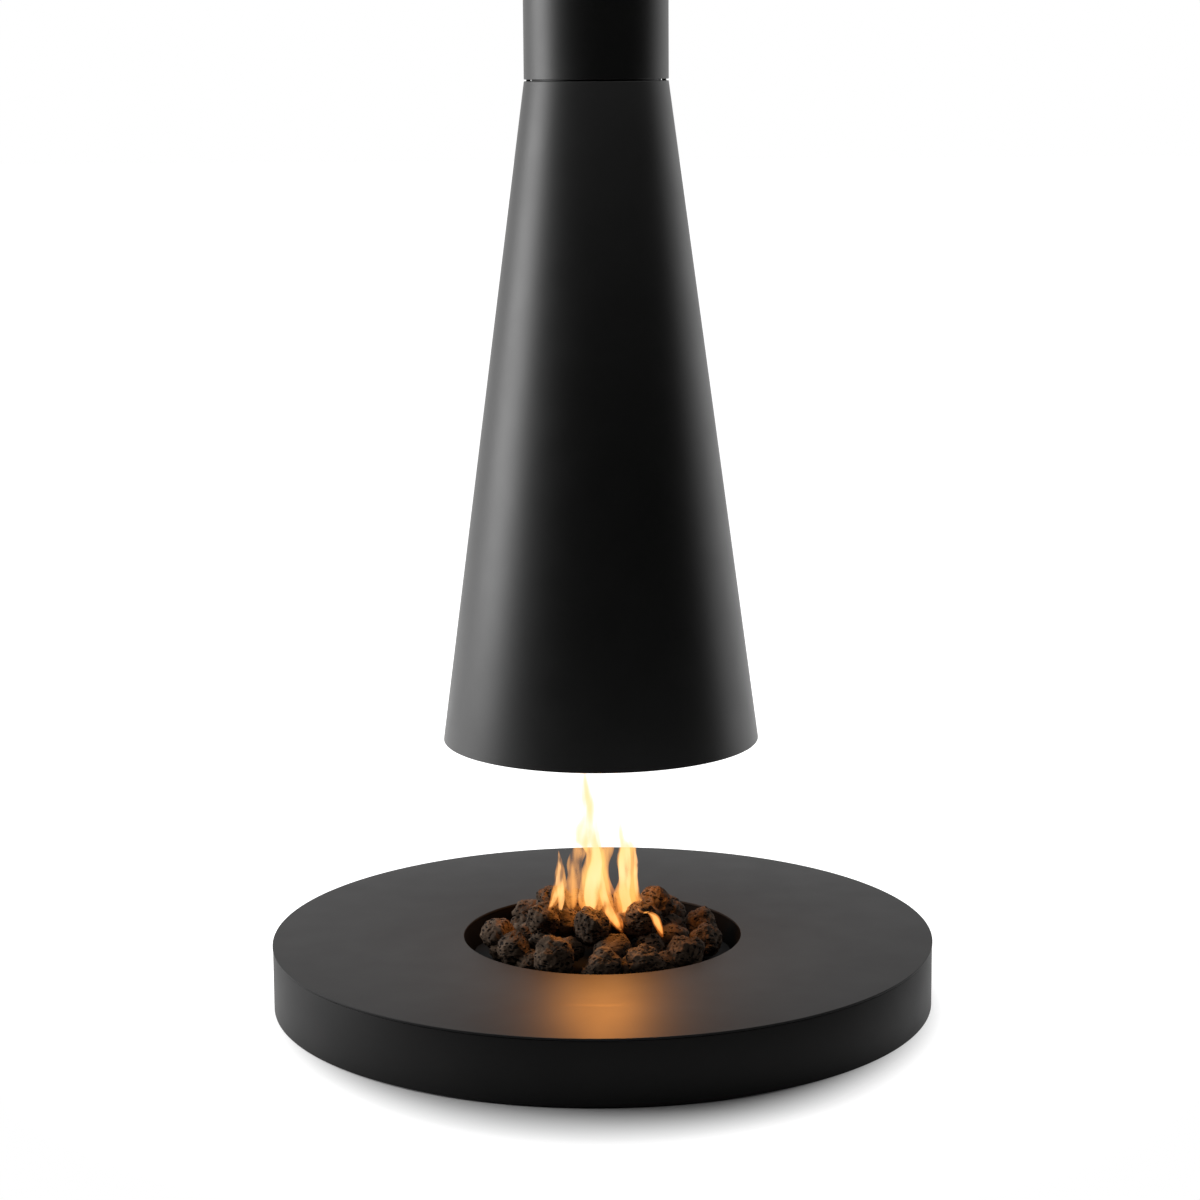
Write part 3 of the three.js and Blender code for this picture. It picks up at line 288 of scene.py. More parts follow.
def powder_coat(name, dark, light, rough_low, rough_high, specular):
    made, tree, surface, _ = material(name)
    where = object_coordinates(tree)
    cloud = texture(tree, "ShaderNodeTexNoise", where, 3.2, Detail=4.0)
    peel = texture(tree, "ShaderNodeTexNoise", where, 900.0, Detail=2.0)
    speck = texture(tree, "ShaderNodeTexVoronoi", where, 1500.0)
    rub = texture(tree, "ShaderNodeTexNoise", where, 11.0, Detail=6.0)
    tree.links.new(ramp(tree, cloud.outputs["Fac"], 0.3, 0.7, dark, light), surface.inputs["Base Color"])
    tree.links.new(spread(tree, rub.outputs["Fac"], rough_low, rough_high), surface.inputs["Roughness"])
    surface.inputs["Specular IOR Level"].default_value = specular
    bumped(tree, surface, peel.outputs["Fac"], 0.12, 0.0002)
    bumped(tree, surface, speck.outputs["Distance"], 0.08, 0.0001)
    return made


hearth_paint = powder_coat(
    "hearth_paint",
    dark=(0.014, 0.0138, 0.0138),
    light=(0.018, 0.0176, 0.0176),
    rough_low=0.46,
    rough_high=0.54,
    specular=0.08,
)
hood_paint = powder_coat(
    "hood_paint",
    dark=(0.006, 0.006, 0.006),
    light=(0.009, 0.009, 0.009),
    rough_low=0.4,
    rough_high=0.48,
    specular=0.4,
)
heat_paint = powder_coat(
    "heat_paint",
    dark=(0.003, 0.003, 0.003),
    light=(0.005, 0.0048, 0.0046),
    rough_low=0.6,
    rough_high=0.72,
    specular=0.05,
)

round_sides = 256


def turned(name, profile, finish, body, replaced, sides=round_sides, closed=True):
    """A piece turned round the Z axis from a profile of (radius, height) in metres."""
    mesh = bmesh.new()
    rings = []
    for radius, height in profile:
        if radius == 0:
            rings.append([mesh.verts.new((0, 0, height))])
            continue
        around = []
        for i in range(sides):
            angle = 2 * math.pi * i / sides
            around.append(mesh.verts.new((radius * math.cos(angle), radius * math.sin(angle), height)))
        rings.append(around)
    last = len(rings) if closed else len(rings) - 1
    for k in range(last):
        one, two = rings[k], rings[(k + 1) % len(rings)]
        for i in range(sides):
            j = (i + 1) % sides
            corners = [one[i % len(one)], one[j % len(one)], two[j % len(two)], two[i % len(two)]]
            corners = list(dict.fromkeys(corners))
            if len(corners) > 2:
                mesh.faces.new(corners)
    bmesh.ops.recalc_face_normals(mesh, faces=mesh.faces)
    return finished_piece(name, mesh, finish, body, replaced)


def finished_piece(name, mesh, finish, body, replaced, smooth_degrees=30):
    data = bpy.data.meshes.new(name)
    mesh.to_mesh(data)
    mesh.free()
    for face in data.polygons:
        face.use_smooth = True
    data.set_sharp_from_angle(angle=math.radians(smooth_degrees))
    piece = bpy.data.objects.new(name, data)
    scene.collection.objects.link(piece)
    data.materials.append(finish)
    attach(piece, body)
    if replaced:
        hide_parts(*replaced)
    return piece


def rounded(corner_radius, corner_height, radius, quarter_turn, steps=5):
    """Points of a rounded corner. quarter_turn is the quadrant, 0 up and out to 3 down and out."""
    centre_r = corner_radius - radius * (1 if quarter_turn in (0, 3) else -1)
    centre_h = corner_height - radius * (1 if quarter_turn in (0, 1) else -1)
    points = []
    for i in range(steps + 1):
        angle = math.pi / 2 * (quarter_turn + i / steps)
        points.append((centre_r + radius * math.cos(angle), centre_h + radius * math.sin(angle)))
    return points


# ---------- hearth casing ----------
# A five millimetre top plate with softly broken edges lies over a rolled skirt, and a fine shadow
# joint shows between them. The skirt ends just above the floor; the hearth stands on a low plinth.

hearth_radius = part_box("hearth_top_plate")[1].x
hearth_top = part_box("hearth_top_plate")[1].z
plate_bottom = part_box("hearth_top_plate")[0].z
bowl_opening = 0.337
plate_rounding = 0.0018
plate_under_rounding = 0.0008

turned(
    "hearth_top",
    [
        (bowl_opening, plate_bottom),
        *rounded(hearth_radius, plate_bottom, plate_under_rounding, 3),
        *rounded(hearth_radius, hearth_top, plate_rounding, 0),
        *rounded(bowl_opening, hearth_top, plate_rounding, 1),
    ],
    hearth_paint,
    "root",
    ["hearth_top_plate"],
)

skirt_low, skirt_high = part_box("hearth_skirt")
skirt_radius = skirt_high.x
skirt_sheet = 0.003
skirt_inner = skirt_radius - skirt_sheet
skirt_under_rounding = 0.0006
skirt_rounding = 0.0012
door_half_width = 0.15
door_sill = 0.028
door_lintel = 0.138
cut_from = 0.1
cut_to = 1.2


def block(x0, x1, y0, y1, z0, z1):
    mesh = bmesh.new()
    bmesh.ops.create_cube(mesh, size=1)
    for vert in mesh.verts:
        vert.co.x = x0 if vert.co.x < 0 else x1
        vert.co.y = y0 if vert.co.y < 0 else y1
        vert.co.z = z0 if vert.co.z < 0 else z1
    return mesh


def carve(piece, tool_mesh, operation):
    """Cuts the tool out of the piece, or keeps only what lies inside the tool."""
    data = bpy.data.meshes.new("tool")
    tool_mesh.to_mesh(data)
    tool_mesh.free()
    tool = bpy.data.objects.new("tool", data)
    scene.collection.objects.link(tool)
    step = piece.modifiers.new("carve", "BOOLEAN")
    step.operation = operation
    step.solver = "EXACT"
    step.object = tool
    shaped = bpy.data.meshes.new_from_object(piece.evaluated_get(bpy.context.evaluated_depsgraph_get()))
    piece.modifiers.clear()
    old = piece.data
    piece.data = shaped
    bpy.data.meshes.remove(old)
    bpy.data.objects.remove(tool)
    bpy.data.meshes.remove(data)


skirt_profile = [
    (skirt_inner, skirt_low.z),
    *rounded(skirt_radius, skirt_low.z, skirt_under_rounding, 3, 3),
    *rounded(skirt_radius, skirt_high.z, skirt_rounding, 0, 3),
    (skirt_inner, skirt_high.z),
]
skirt = turned("hearth_skirt_wall", skirt_profile, hearth_paint, "root", ["hearth_skirt"])
door_opening = block(-door_half_width, door_half_width, cut_from, cut_to, door_sill, door_lintel)
carve(skirt, door_opening, "DIFFERENCE")


# ---------- service door ----------
# A piece of the skirt, cut out at the back and hung on a pin hinge, with a round finger hole. It
# keeps the curve and the coat of the skirt, so only its fine joint and the knuckles show.

door_low, door_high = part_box("service_door")
finger_hole_x = -0.115
finger_hole_radius = 0.011
door_gap = 0.0015
door_rounding = 0.0004
hinge_x = 0.144
hinge_y = 0.78185
knuckle_notch_x = 0.138
knuckle_low = 0.0448
knuckle_high = 0.1212
knuckle_bore = 0.0021
knuckle_radius = 0.004
past_door = 0.2

door = turned(
    "door_panel",
    [
        (skirt_inner, door_low.z),
        *rounded(skirt_radius, door_low.z, door_rounding, 3, 2),
        *rounded(skirt_radius, door_high.z, door_rounding, 0, 2),
        (skirt_inner, door_high.z),
    ],
    hearth_paint,
    "door",
    ["service_door"],
)
door_part = block(door_gap - door_half_width, hinge_x, cut_from, cut_to, 0, past_door)
carve(door, door_part, "INTERSECT")
for low, high in ((0, knuckle_low), (knuckle_high, past_door)):
    carve(door, block(knuckle_notch_x, past_door, cut_from, cut_to, low, high), "DIFFERENCE")
door_knuckle = turned(
    "door_knuckle",
    [
        (knuckle_bore, knuckle_low),
        (knuckle_radius, knuckle_low),
        (knuckle_radius, knuckle_high),
        (knuckle_bore, knuckle_high),
    ],
    hearth_paint,
    "door",
    [],
    48,
)
door_knuckle.data.transform(Matrix.Translation((hinge_x, hinge_y, 0)))
hole = bmesh.new()
bmesh.ops.create_cone(
    hole,
    cap_ends=True,
    segments=48,
    radius1=finger_hole_radius,
    radius2=finger_hole_radius,
    depth=past_door,
    matrix=Matrix.Translation((finger_hole_x, skirt_radius, (door_low.z + door_high.z) / 2))
    @ Matrix.Rotation(math.pi / 2, 4, "X"),
)
carve(door, hole, "DIFFERENCE")


# ---------- fire bowl ----------
# A bowl pressed from two and a half millimetre sheet, hung by its flange under the top plate and
# coated with a matt black heat paint that soot has dulled in patches.

bowl_low, bowl_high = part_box("fire_bowl")
bowl_radius = 0.34
bowl_floor_radius = 0.318
bowl_sheet = 0.0025
bowl_floor = bowl_low.z + bowl_sheet
bowl_bend_width = 0.006
bowl_bend_height = 0.004
bowl_lip = 0.001

bowl_paint, tree, surface, _ = material("bowl_paint")
where = object_coordinates(tree)
soot = texture(tree, "ShaderNodeTexNoise", where, 9.0, Detail=6.0)
fleck = texture(tree, "ShaderNodeTexNoise", where, 400.0, Detail=3.0)
tree.links.new(
    ramp(tree, soot.outputs["Fac"], 0.35, 0.7, (0.002, 0.002, 0.002), (0.005, 0.0048, 0.0046)),
    surface.inputs["Base Color"],
)
tree.links.new(spread(tree, soot.outputs["Fac"], 0.38, 0.6), surface.inputs["Roughness"])
surface.inputs["Specular IOR Level"].default_value = 0.04
bumped(tree, surface, fleck.outputs["Fac"], 0.15, 0.0003)

turned(
    "bowl",
    [
        (0, bowl_low.z),
        (bowl_floor_radius - bowl_bend_width, bowl_low.z),
        (bowl_floor_radius, bowl_low.z + bowl_bend_height),
        (bowl_radius + bowl_sheet, bowl_high.z - 2 * bowl_sheet),
        (bowl_radius + bowl_sheet, bowl_high.z - bowl_sheet),
        (bowl_high.x, bowl_high.z - bowl_sheet),
        (bowl_high.x, bowl_high.z),
        (bowl_radius + bowl_lip, bowl_high.z),
        (bowl_radius, bowl_high.z - bowl_lip),
        (bowl_radius, bowl_high.z - 2 * bowl_sheet),
        (bowl_floor_radius - bowl_sheet, bowl_floor + bowl_bend_height),
        (bowl_floor_radius - bowl_sheet - bowl_bend_width, bowl_floor),
        (0, bowl_floor),
    ],
    bowl_paint,
    "root",
    ["fire_bowl"],
    closed=False,
)


# ---------- lava stones ----------
# Broken volcanic rock, heaped by hand over the burner: rounded lumps of seven to eleven
# centimetres, dark brown, full of open gas bubbles. They lie loose, in rings round the burner.

lava_rock, tree, surface, _ = material("lava_rock")
where = object_coordinates(tree)
swirl = texture(tree, "ShaderNodeTexNoise", where, 14.0, Detail=3.0)
drawn_out = tree.nodes.new("ShaderNodeVectorMath")
drawn_out.operation = "MULTIPLY_ADD"
drawn_out.inputs[1].default_value = (0.05, 0.05, 0.05)
tree.links.new(swirl.outputs["Color"], drawn_out.inputs[0])
tree.links.new(where, drawn_out.inputs[2])
stretch = tree.nodes.new("ShaderNodeMapping")
stretch.inputs["Scale"].default_value = (0.75, 0.75, 1.7)
tree.links.new(drawn_out.outputs[0], stretch.inputs["Vector"])
mottle = texture(tree, "ShaderNodeTexNoise", where, 26.0, Detail=8.0, Roughness=0.65)
pores = texture(tree, "ShaderNodeTexVoronoi", stretch.outputs["Vector"], 84.0)
pits = texture(tree, "ShaderNodeTexVoronoi", stretch.outputs["Vector"], 160.0)
grit = texture(tree, "ShaderNodeTexNoise", where, 320.0, Detail=6.0, Roughness=0.7)
tone = ramp(tree, mottle.outputs["Fac"], 0.32, 0.7, (0.026, 0.0165, 0.0112), (0.128, 0.086, 0.058))
# Painted shade: the base colour is darkened to a few per cent inside the pores, the shade in the open
# bubbles.
painted_pore_shade = ramp(tree, pores.outputs["Distance"], 0.28, 0.42, (0.07, 0.06, 0.055), (1, 1, 1))
pore_shade_darkening = tree.nodes.new("ShaderNodeMix")
pore_shade_darkening.data_type = "RGBA"
pore_shade_darkening.blend_type = "MULTIPLY"
pore_shade_darkening.inputs["Factor"].default_value = 1.0
tree.links.new(tone, pore_shade_darkening.inputs["A"])
tree.links.new(painted_pore_shade, pore_shade_darkening.inputs["B"])
tree.links.new(pore_shade_darkening.outputs["Result"], surface.inputs["Base Color"])
surface.inputs["Roughness"].default_value = 0.85
surface.inputs["Specular IOR Level"].default_value = 0.12
hollow = tree.nodes.new("ShaderNodeMapRange")
hollow.interpolation_type = "SMOOTHSTEP"
hollow.inputs["From Min"].default_value = 0.12
hollow.inputs["From Max"].default_value = 0.42
tree.links.new(pores.outputs["Distance"], hollow.inputs["Value"])
bumped(tree, surface, hollow.outputs["Result"], 1.0, 0.004)
bumped(tree, surface, pits.outputs["Distance"], 0.7, 0.002)
bumped(tree, surface, grit.outputs["Fac"], 0.35, 0.0006)


def lump_shape(direction, seed):
    """Radius of a stone in a direction, about one: broad lumps, smaller ones and open bubbles."""
    shift = Vector((seed * 7.31, seed * 3.17, seed * 5.73))
    broad = noise.noise(direction * 1.2 + shift) * 0.22
    middle = noise.fractal(direction * 2.9 + shift, 1.0, 2.0, 4) * 0.1
    bubbles = 0.0
    for scale, depth in ((3.6, 0.04), (7.5, 0.05), (13.0, 0.04)):
        nearest = noise.voronoi(direction * scale + shift)[0][0]
        bubbles += depth * max(0.0, 1 - nearest / 0.42) ** 0.7
    return 1 + broad + middle - bubbles


def stone(name, centre, size, seed, replaced, detail=5):
    """size is the half width, depth and height of the space that the stone fills."""
    mesh = bmesh.new()
    bmesh.ops.create_icosphere(mesh, subdivisions=detail, radius=1)
    turn = noise.random_unit_vector()
    tilt = Matrix.Rotation(seed * 2.4, 3, turn)
    for vert in mesh.verts:
        direction = vert.co.normalized()
        vert.co = tilt @ (direction * lump_shape(direction, seed))
    low = Vector(min(v.co[k] for v in mesh.verts) for k in range(3))
    high = Vector(max(v.co[k] for v in mesh.verts) for k in range(3))
    for vert in mesh.verts:
        for k in range(3):
            share = 2 * (vert.co[k] - low[k]) / (high[k] - low[k]) - 1
            vert.co[k] = centre[k] + size[k] * share
    return finished_piece(name, mesh, lava_rock, "root", replaced, 180)


noise.seed_set(4)
free_stones = 17
stone_growth = 1.12
for index in range(1, free_stones + 1):
    node = f"lava_stone_{index}"
    low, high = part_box(node)
    centre = (low + high) / 2
    half = (high - low) / 2
    stone(f"stone_{index}", centre, half * stone_growth, index, [node])

# Each ring of the bed: how many stones, the ring's radius, the height of their middles, their size.
bed_rings = (
    (16, 0.235, 0.128, 0.036),
    (11, 0.165, 0.16, 0.042),
    (7, 0.1, 0.2, 0.042),
    (1, 0.0, 0.215, 0.045),
)
bed_stones = []
random.seed(11)
for layer, (count, radius, height, size) in enumerate(bed_rings):
    for i in range(count):
        angle = 2 * math.pi * (i + 0.5 * (layer % 2)) / count + random.uniform(-0.1, 0.1)
        reach = radius * random.uniform(0.94, 1.05)
        middle = height * random.uniform(0.97, 1.03)
        place = Vector((reach * math.cos(angle), reach * math.sin(angle), middle))
        width = size * random.uniform(0.9, 1.15)
        half = Vector((width, width * random.uniform(0.85, 1.1), width * random.uniform(0.8, 0.95)))
        name = f"bed_stone_{len(bed_stones) + 1}"
        bed_stones.append(stone(name, place, half, 30 + len(bed_stones), [], 4))
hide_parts("lava_bed")


# ---------- flames ----------
# Gas flames from the burner under the stones: broad, clear tongues that run into each other, orange
# where they are thin and pale yellow where they are deep. They are gas, so each is a closed body
# of glowing vapour with no surface of its own.

vapour_grain = 48.0
vapour_rise = 0.22
full_above = 0.66
foot_height = 0.19
clear_height = 0.32


def flame_gas(name, foot_color, glow_color, glow_depth, veil_color, veil, clear_below, thinnest, thickest):
    """Glowing gas: the deeper it is, the more it shines and the more it hides what lies behind.
    Its colour goes from foot_color at the stones to glow_color above them, and its density from
    thinnest to thickest, in upright streaks."""
    made, tree, surface, output = material(name)
    tree.nodes.remove(surface)
    where = object_coordinates(tree)
    drawn = tree.nodes.new("ShaderNodeMapping")
    drawn.inputs["Scale"].default_value = (1, 1, vapour_rise)
    tree.links.new(where, drawn.inputs["Vector"])
    streak = texture(tree, "ShaderNodeTexNoise", drawn.outputs["Vector"], vapour_grain, Detail=3.0)
    thin = tree.nodes.new("ShaderNodeMapRange")
    thin.inputs["From Min"].default_value = clear_below
    thin.inputs["From Max"].default_value = full_above
    thin.inputs["To Min"].default_value = thinnest
    thin.inputs["To Max"].default_value = thickest
    tree.links.new(streak.outputs["Fac"], thin.inputs["Value"])
    shine = tree.nodes.new("ShaderNodeMath")
    shine.operation = "MULTIPLY"
    shine.inputs[1].default_value = glow_depth
    tree.links.new(thin.outputs["Result"], shine.inputs[0])
    light = tree.nodes.new("ShaderNodeEmission")
    height = tree.nodes.new("ShaderNodeSeparateXYZ")
    tree.links.new(where, height.inputs[0])
    rise = tree.nodes.new("ShaderNodeMapRange")
    rise.inputs["From Min"].default_value = foot_height
    rise.inputs["From Max"].default_value = clear_height
    tree.links.new(height.outputs["Z"], rise.inputs["Value"])
    tree.links.new(ramp(tree, rise.outputs["Result"], 0, 1, foot_color, glow_color), light.inputs["Color"])
    tree.links.new(shine.outputs[0], light.inputs["Strength"])
    haze = tree.nodes.new("ShaderNodeMath")
    haze.operation = "MULTIPLY"
    haze.inputs[1].default_value = veil
    tree.links.new(thin.outputs["Result"], haze.inputs[0])
    absorb = tree.nodes.new("ShaderNodeVolumeAbsorption")
    absorb.inputs["Color"].default_value = (*veil_color, 1)
    tree.links.new(haze.outputs[0], absorb.inputs["Density"])
    both = tree.nodes.new("ShaderNodeAddShader")
    tree.links.new(light.outputs[0], both.inputs[0])
    tree.links.new(absorb.outputs[0], both.inputs[1])
    tree.links.new(both.outputs[0], output.inputs["Volume"])
    return made


flame_mantle = flame_gas(
    "flame_mantle",
    foot_color=(1.0, 0.2, 0.02),
    glow_color=(1.0, 0.38, 0.09),
    glow_depth=52.0,
    veil_color=(0.0, 0.42, 0.55),
    veil=42.0,
    clear_below=0.36,
    thinnest=0.1,
    thickest=2.3,
)
flame_heart = flame_gas(
    "flame_heart",
    foot_color=(1.0, 0.34, 0.05),
    glow_color=(1.0, 0.49, 0.17),
    glow_depth=150.0,
    veil_color=(0.0, 0.22, 0.5),
    veil=98.0,
    clear_below=0.36,
    thinnest=0.2,
    thickest=2.6,
)
flame_smoke = flame_gas(
    "flame_smoke",
    foot_color=(1.0, 0.3, 0.05),
    glow_color=(1.0, 0.4, 0.1),
    glow_depth=30.0,
    veil_color=(0.0, 0.36, 0.5),
    veil=20.0,
    clear_below=0.42,
    thinnest=0.0,
    thickest=2.4,
)

# Each tongue: its gas, then its spine as (x, z, half width) in metres, from the stones up.
flame_tongues = {
    "left": (flame_mantle, [(-0.127, 0.222, 0.004), (-0.109, 0.256, 0.015), (-0.0995, 0.286, 0.016),
                            (-0.1005, 0.327, 0.01), (-0.1045, 0.37, 0.001)]),
    "left_spike": (flame_heart, [(-0.1, 0.222, 0.004), (-0.0985, 0.25, 0.008), (-0.0995, 0.285, 0.008),
                                 (-0.102, 0.33, 0.004), (-0.104, 0.365, 0.001)]),
    "left_edge": (flame_heart, [(-0.127, 0.226, 0.003), (-0.114, 0.252, 0.006), (-0.106, 0.29, 0.006),
                                (-0.104, 0.35, 0.001)]),
    "smoke": (flame_smoke, [(-0.076, 0.215, 0.002), (-0.072, 0.262, 0.023), (-0.061, 0.307, 0.02),
                            (-0.066, 0.338, 0.018), (-0.058, 0.366, 0.02), (-0.05, 0.4, 0.02),
                            (-0.044, 0.44, 0.001)]),
    "main": (flame_mantle, [(-0.029, 0.215, 0.02), (-0.029, 0.24, 0.03), (-0.024, 0.276, 0.028),
                            (-0.0215, 0.312, 0.026), (-0.018, 0.363, 0.026), (-0.034, 0.4, 0.034),
                            (-0.037, 0.425, 0.028), (-0.029, 0.46, 0.02), (-0.028, 0.496, 0.0195),
                            (-0.039, 0.532, 0.0135), (-0.0435, 0.563, 0.009), (-0.04, 0.6, 0.001)]),
    "main_heart": (flame_heart, [(-0.03, 0.22, 0.008), (-0.026, 0.25, 0.017), (-0.02, 0.3, 0.018),
                                 (-0.014, 0.35, 0.014), (-0.024, 0.4, 0.012), (-0.03, 0.44, 0.009),
                                 (-0.028, 0.49, 0.009), (-0.037, 0.53, 0.006), (-0.042, 0.58, 0.001)]),
    "strand": (flame_mantle, [(0.047, 0.166, 0.003), (0.031, 0.197, 0.018), (0.012, 0.235, 0.018),
                              (0.004, 0.286, 0.013), (-0.001, 0.34, 0.013), (-0.004, 0.4, 0.001)]),
    "strand_heart": (flame_heart, [(0.044, 0.172, 0.003), (0.024, 0.205, 0.011), (0.006, 0.245, 0.01),
                                   (-0.002, 0.3, 0.007), (-0.006, 0.35, 0.001)]),
    "arc": (flame_mantle, [(0.036, 0.25, 0.004), (0.022, 0.27, 0.009), (0.0085, 0.3, 0.01),
                           (0.0065, 0.335, 0.011), (0.014, 0.37, 0.016), (0.02, 0.392, 0.012),
                           (0.03, 0.41, 0.001)]),
    "right": (flame_mantle, [(0.0525, 0.178, 0.005), (0.0575, 0.2045, 0.017), (0.061, 0.24, 0.034),
                             (0.058, 0.276, 0.028), (0.0635, 0.307, 0.022), (0.0633, 0.338, 0.024),
                             (0.06, 0.378, 0.023), (0.052, 0.4, 0.014), (0.0453, 0.425, 0.008),
                             (0.0443, 0.462, 0.001)]),
    "right_heart": (flame_heart, [(0.055, 0.19, 0.004), (0.06, 0.225, 0.012), (0.052, 0.27, 0.013),
                                  (0.056, 0.32, 0.015), (0.056, 0.37, 0.014), (0.048, 0.41, 0.006),
                                  (0.0445, 0.455, 0.001)]),
    "right_edge": (flame_heart, [(0.099, 0.225, 0.002), (0.086, 0.258, 0.005), (0.081, 0.3, 0.005),
                                 (0.083, 0.34, 0.005), (0.077, 0.385, 0.001)]),
    "hook": (flame_mantle, [(0.142, 0.155, 0.003), (0.135, 0.178, 0.009), (0.125, 0.203, 0.011),
                            (0.112, 0.215, 0.008), (0.095, 0.216, 0.006), (0.082, 0.228, 0.001)]),
    "hook_heart": (flame_heart, [(0.142, 0.163, 0.002), (0.132, 0.186, 0.007), (0.124, 0.205, 0.006),
                                 (0.108, 0.215, 0.001)]),
}

# How far the foot and the tip of a tongue stand in front of the middle, by the start of its name.
forward_reach = {
    "strand": (0.13, 0),
    "hook": (0.17, 0.15),
    "left": (0.12, 0.02),
    "right": (0.08, 0),
    "main": (0.1, 0),
}
flame_depth = -0.012
sight_slope = 0.28
tongue_sides = 24
tongue_rings = 44
tip_width = 0.0004
sway_share = 0.22
curl_share = 0.3
tongue_flatness = 0.9


def along(points, share):
    """A smooth point of the spine, share from 0 to 1."""
    at = share * (len(points) - 1)
    k = min(int(at), len(points) - 2)
    t = at - k
    before, one = points[max(k - 1, 0)], points[k]
    two, after = points[k + 1], points[min(k + 2, len(points) - 1)]
    return [
        0.5 * (2 * b + (c - a) * t + (2 * a - 5 * b + 4 * c - d) * t**2 + (3 * b - a - 3 * c + d) * t**3)
        for a, b, c, d in zip(before, one, two, after)
    ]


def flame(name, spine, gas, foot_forward, tip_forward):
    """A tongue along its spine. What stands forward is raised too, along the line of sight."""
    mesh = bmesh.new()
    rings = []
    for i in range(tongue_rings + 1):
        x, z, width = along(spine, i / tongue_rings)
        y = foot_forward + (tip_forward - foot_forward) * i / tongue_rings
        z += sight_slope * y
        width = max(width, tip_width)
        sway = sway_share * width * noise.noise(Vector((x * 9, 3.1, z * 30)))
        around = []
        for k in range(tongue_sides):
            angle = 2 * math.pi * k / tongue_sides
            curl = 1 + curl_share * noise.noise(Vector((math.cos(angle), math.sin(angle), z * 17)))
            reach = width * curl
            across = x + sway + reach * math.cos(angle)
            depth = flame_depth - y + tongue_flatness * reach * math.sin(angle)
            around.append(mesh.verts.new((across, depth, z)))
        rings.append(around)
    for one, two in zip(rings, rings[1:]):
        for k in range(tongue_sides):
            j = (k + 1) % tongue_sides
            mesh.faces.new((one[k], one[j], two[j], two[k]))
    mesh.faces.new(list(reversed(rings[0])))
    mesh.faces.new(rings[-1])
    piece = finished_piece(name, mesh, gas, "root", [], 180)
    piece.visible_shadow = False
    return piece


for tongue, (gas, spine) in flame_tongues.items():
    flame(f"flame_{tongue}", spine, gas, *forward_reach.get(tongue.split("_")[0], (0, 0)))

# The light of the fire: one lamp for all that it reaches, and one for its gleam in the paint alone.
fire_glow = bpy.data.lights.new("fire_glow", "POINT")
fire_glow.energy = 5.0
fire_glow.color = (1.0, 0.34, 0.05)
fire_glow.shadow_soft_size = 0.07
glow_place = bpy.data.objects.new("fire_glow", fire_glow)
glow_place.location = (0, -0.03, 0.4)
glow_place.visible_camera = False
scene.collection.objects.link(glow_place)
fire_gleam = fire_glow.copy()
fire_gleam.name = "fire_gleam"
fire_gleam.energy = 13.5
gleam_place = glow_place.copy()
gleam_place.name = "fire_gleam"
gleam_place.data = fire_gleam
gleam_place.visible_diffuse = False
scene.collection.objects.link(gleam_place)


# ---------- hood ----------
# A tall cone of two millimetre sheet with a small rolled edge at its mouth. A lip at its top lies on
# the collar of the slip tube, which runs up inside the flue cover. A liner keeps the heat off it.

cone_low, cone_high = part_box("hood_cone")
mouth_radius = cone_high.x
cone_top_radius = 0.168
cone_sheet = 0.002
cone_edge = 0.0015
cone_hem = 0.014
cone_lip = 0.005
cone_slope = (mouth_radius - cone_top_radius) / (cone_high.z - cone_low.z)


def cone_radius(height):
    return mouth_radius - cone_slope * (height - cone_low.z)


turned(
    "hood",
    [
        (mouth_radius - cone_hem, cone_low.z),
        *rounded(mouth_radius, cone_low.z, cone_edge, 3),
        *rounded(cone_top_radius, cone_high.z, cone_edge, 0),
        (cone_top_radius - cone_lip, cone_high.z),
        (cone_top_radius - cone_lip, cone_high.z - cone_sheet),
        (cone_radius(cone_high.z - cone_sheet) - cone_sheet, cone_high.z - cone_sheet),
        (cone_radius(cone_low.z + cone_sheet) - cone_sheet, cone_low.z + cone_sheet),
        (mouth_radius - cone_hem, cone_low.z + cone_sheet),
    ],
    hood_paint,
    "hood",
    ["hood_cone"],
)

liner_low, liner_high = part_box("hood_liner")
liner_flange = 0.003
liner_mouth = liner_high.x - liner_flange
liner_sheet = 0.0015
liner_bore = 0.1503
liner_neck = liner_bore + liner_sheet
liner_neck_height = 0.006
liner_neck_bottom = liner_high.z - liner_neck_height
turned(
    "liner",
    [
        (liner_mouth - liner_sheet, liner_low.z),
        (liner_high.x, liner_low.z),
        (liner_high.x, liner_low.z + liner_sheet),
        (liner_mouth, liner_low.z + liner_sheet),
        (liner_neck, liner_neck_bottom),
        (liner_neck, liner_high.z),
        (liner_neck - liner_sheet, liner_high.z),
        (liner_neck - liner_sheet, liner_neck_bottom),
    ],
    heat_paint,
    "hood",
    ["hood_liner"],
)

tube_low, tube_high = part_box("slip_tube")
tube_sheet = 0.002
turned(
    "slip_tube_wall",
    [
        (tube_high.x - tube_sheet, tube_low.z),
        (tube_high.x, tube_low.z),
        (tube_high.x, tube_high.z),
        (tube_high.x - tube_sheet, tube_high.z),
    ],
    hood_paint,
    "hood",
    ["slip_tube"],
)


# ---------- flue and ceiling canopy ----------
# The cover is a rolled tube of the same diameter as the top of the cone, hung in the canopy. The
# canopy is a shallow spun pan with a rounded rim, pushed up against the ceiling.

cover_low, cover_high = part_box("flue_cover")
cover_radius = cone_top_radius
cover_sheet = 0.002
cover_edge = 0.0015
turned(
    "flue_tube",
    [
        (cover_radius - cover_sheet, cover_low.z),
        *rounded(cover_radius, cover_low.z, cover_edge, 3),
        (cover_radius, cover_high.z - cover_sheet),
        (cover_high.x, cover_high.z - cover_sheet),
        (cover_high.x, cover_high.z),
        (cover_radius - cover_sheet, cover_high.z),
    ],
    hood_paint,
    "root",
    ["flue_cover"],
)

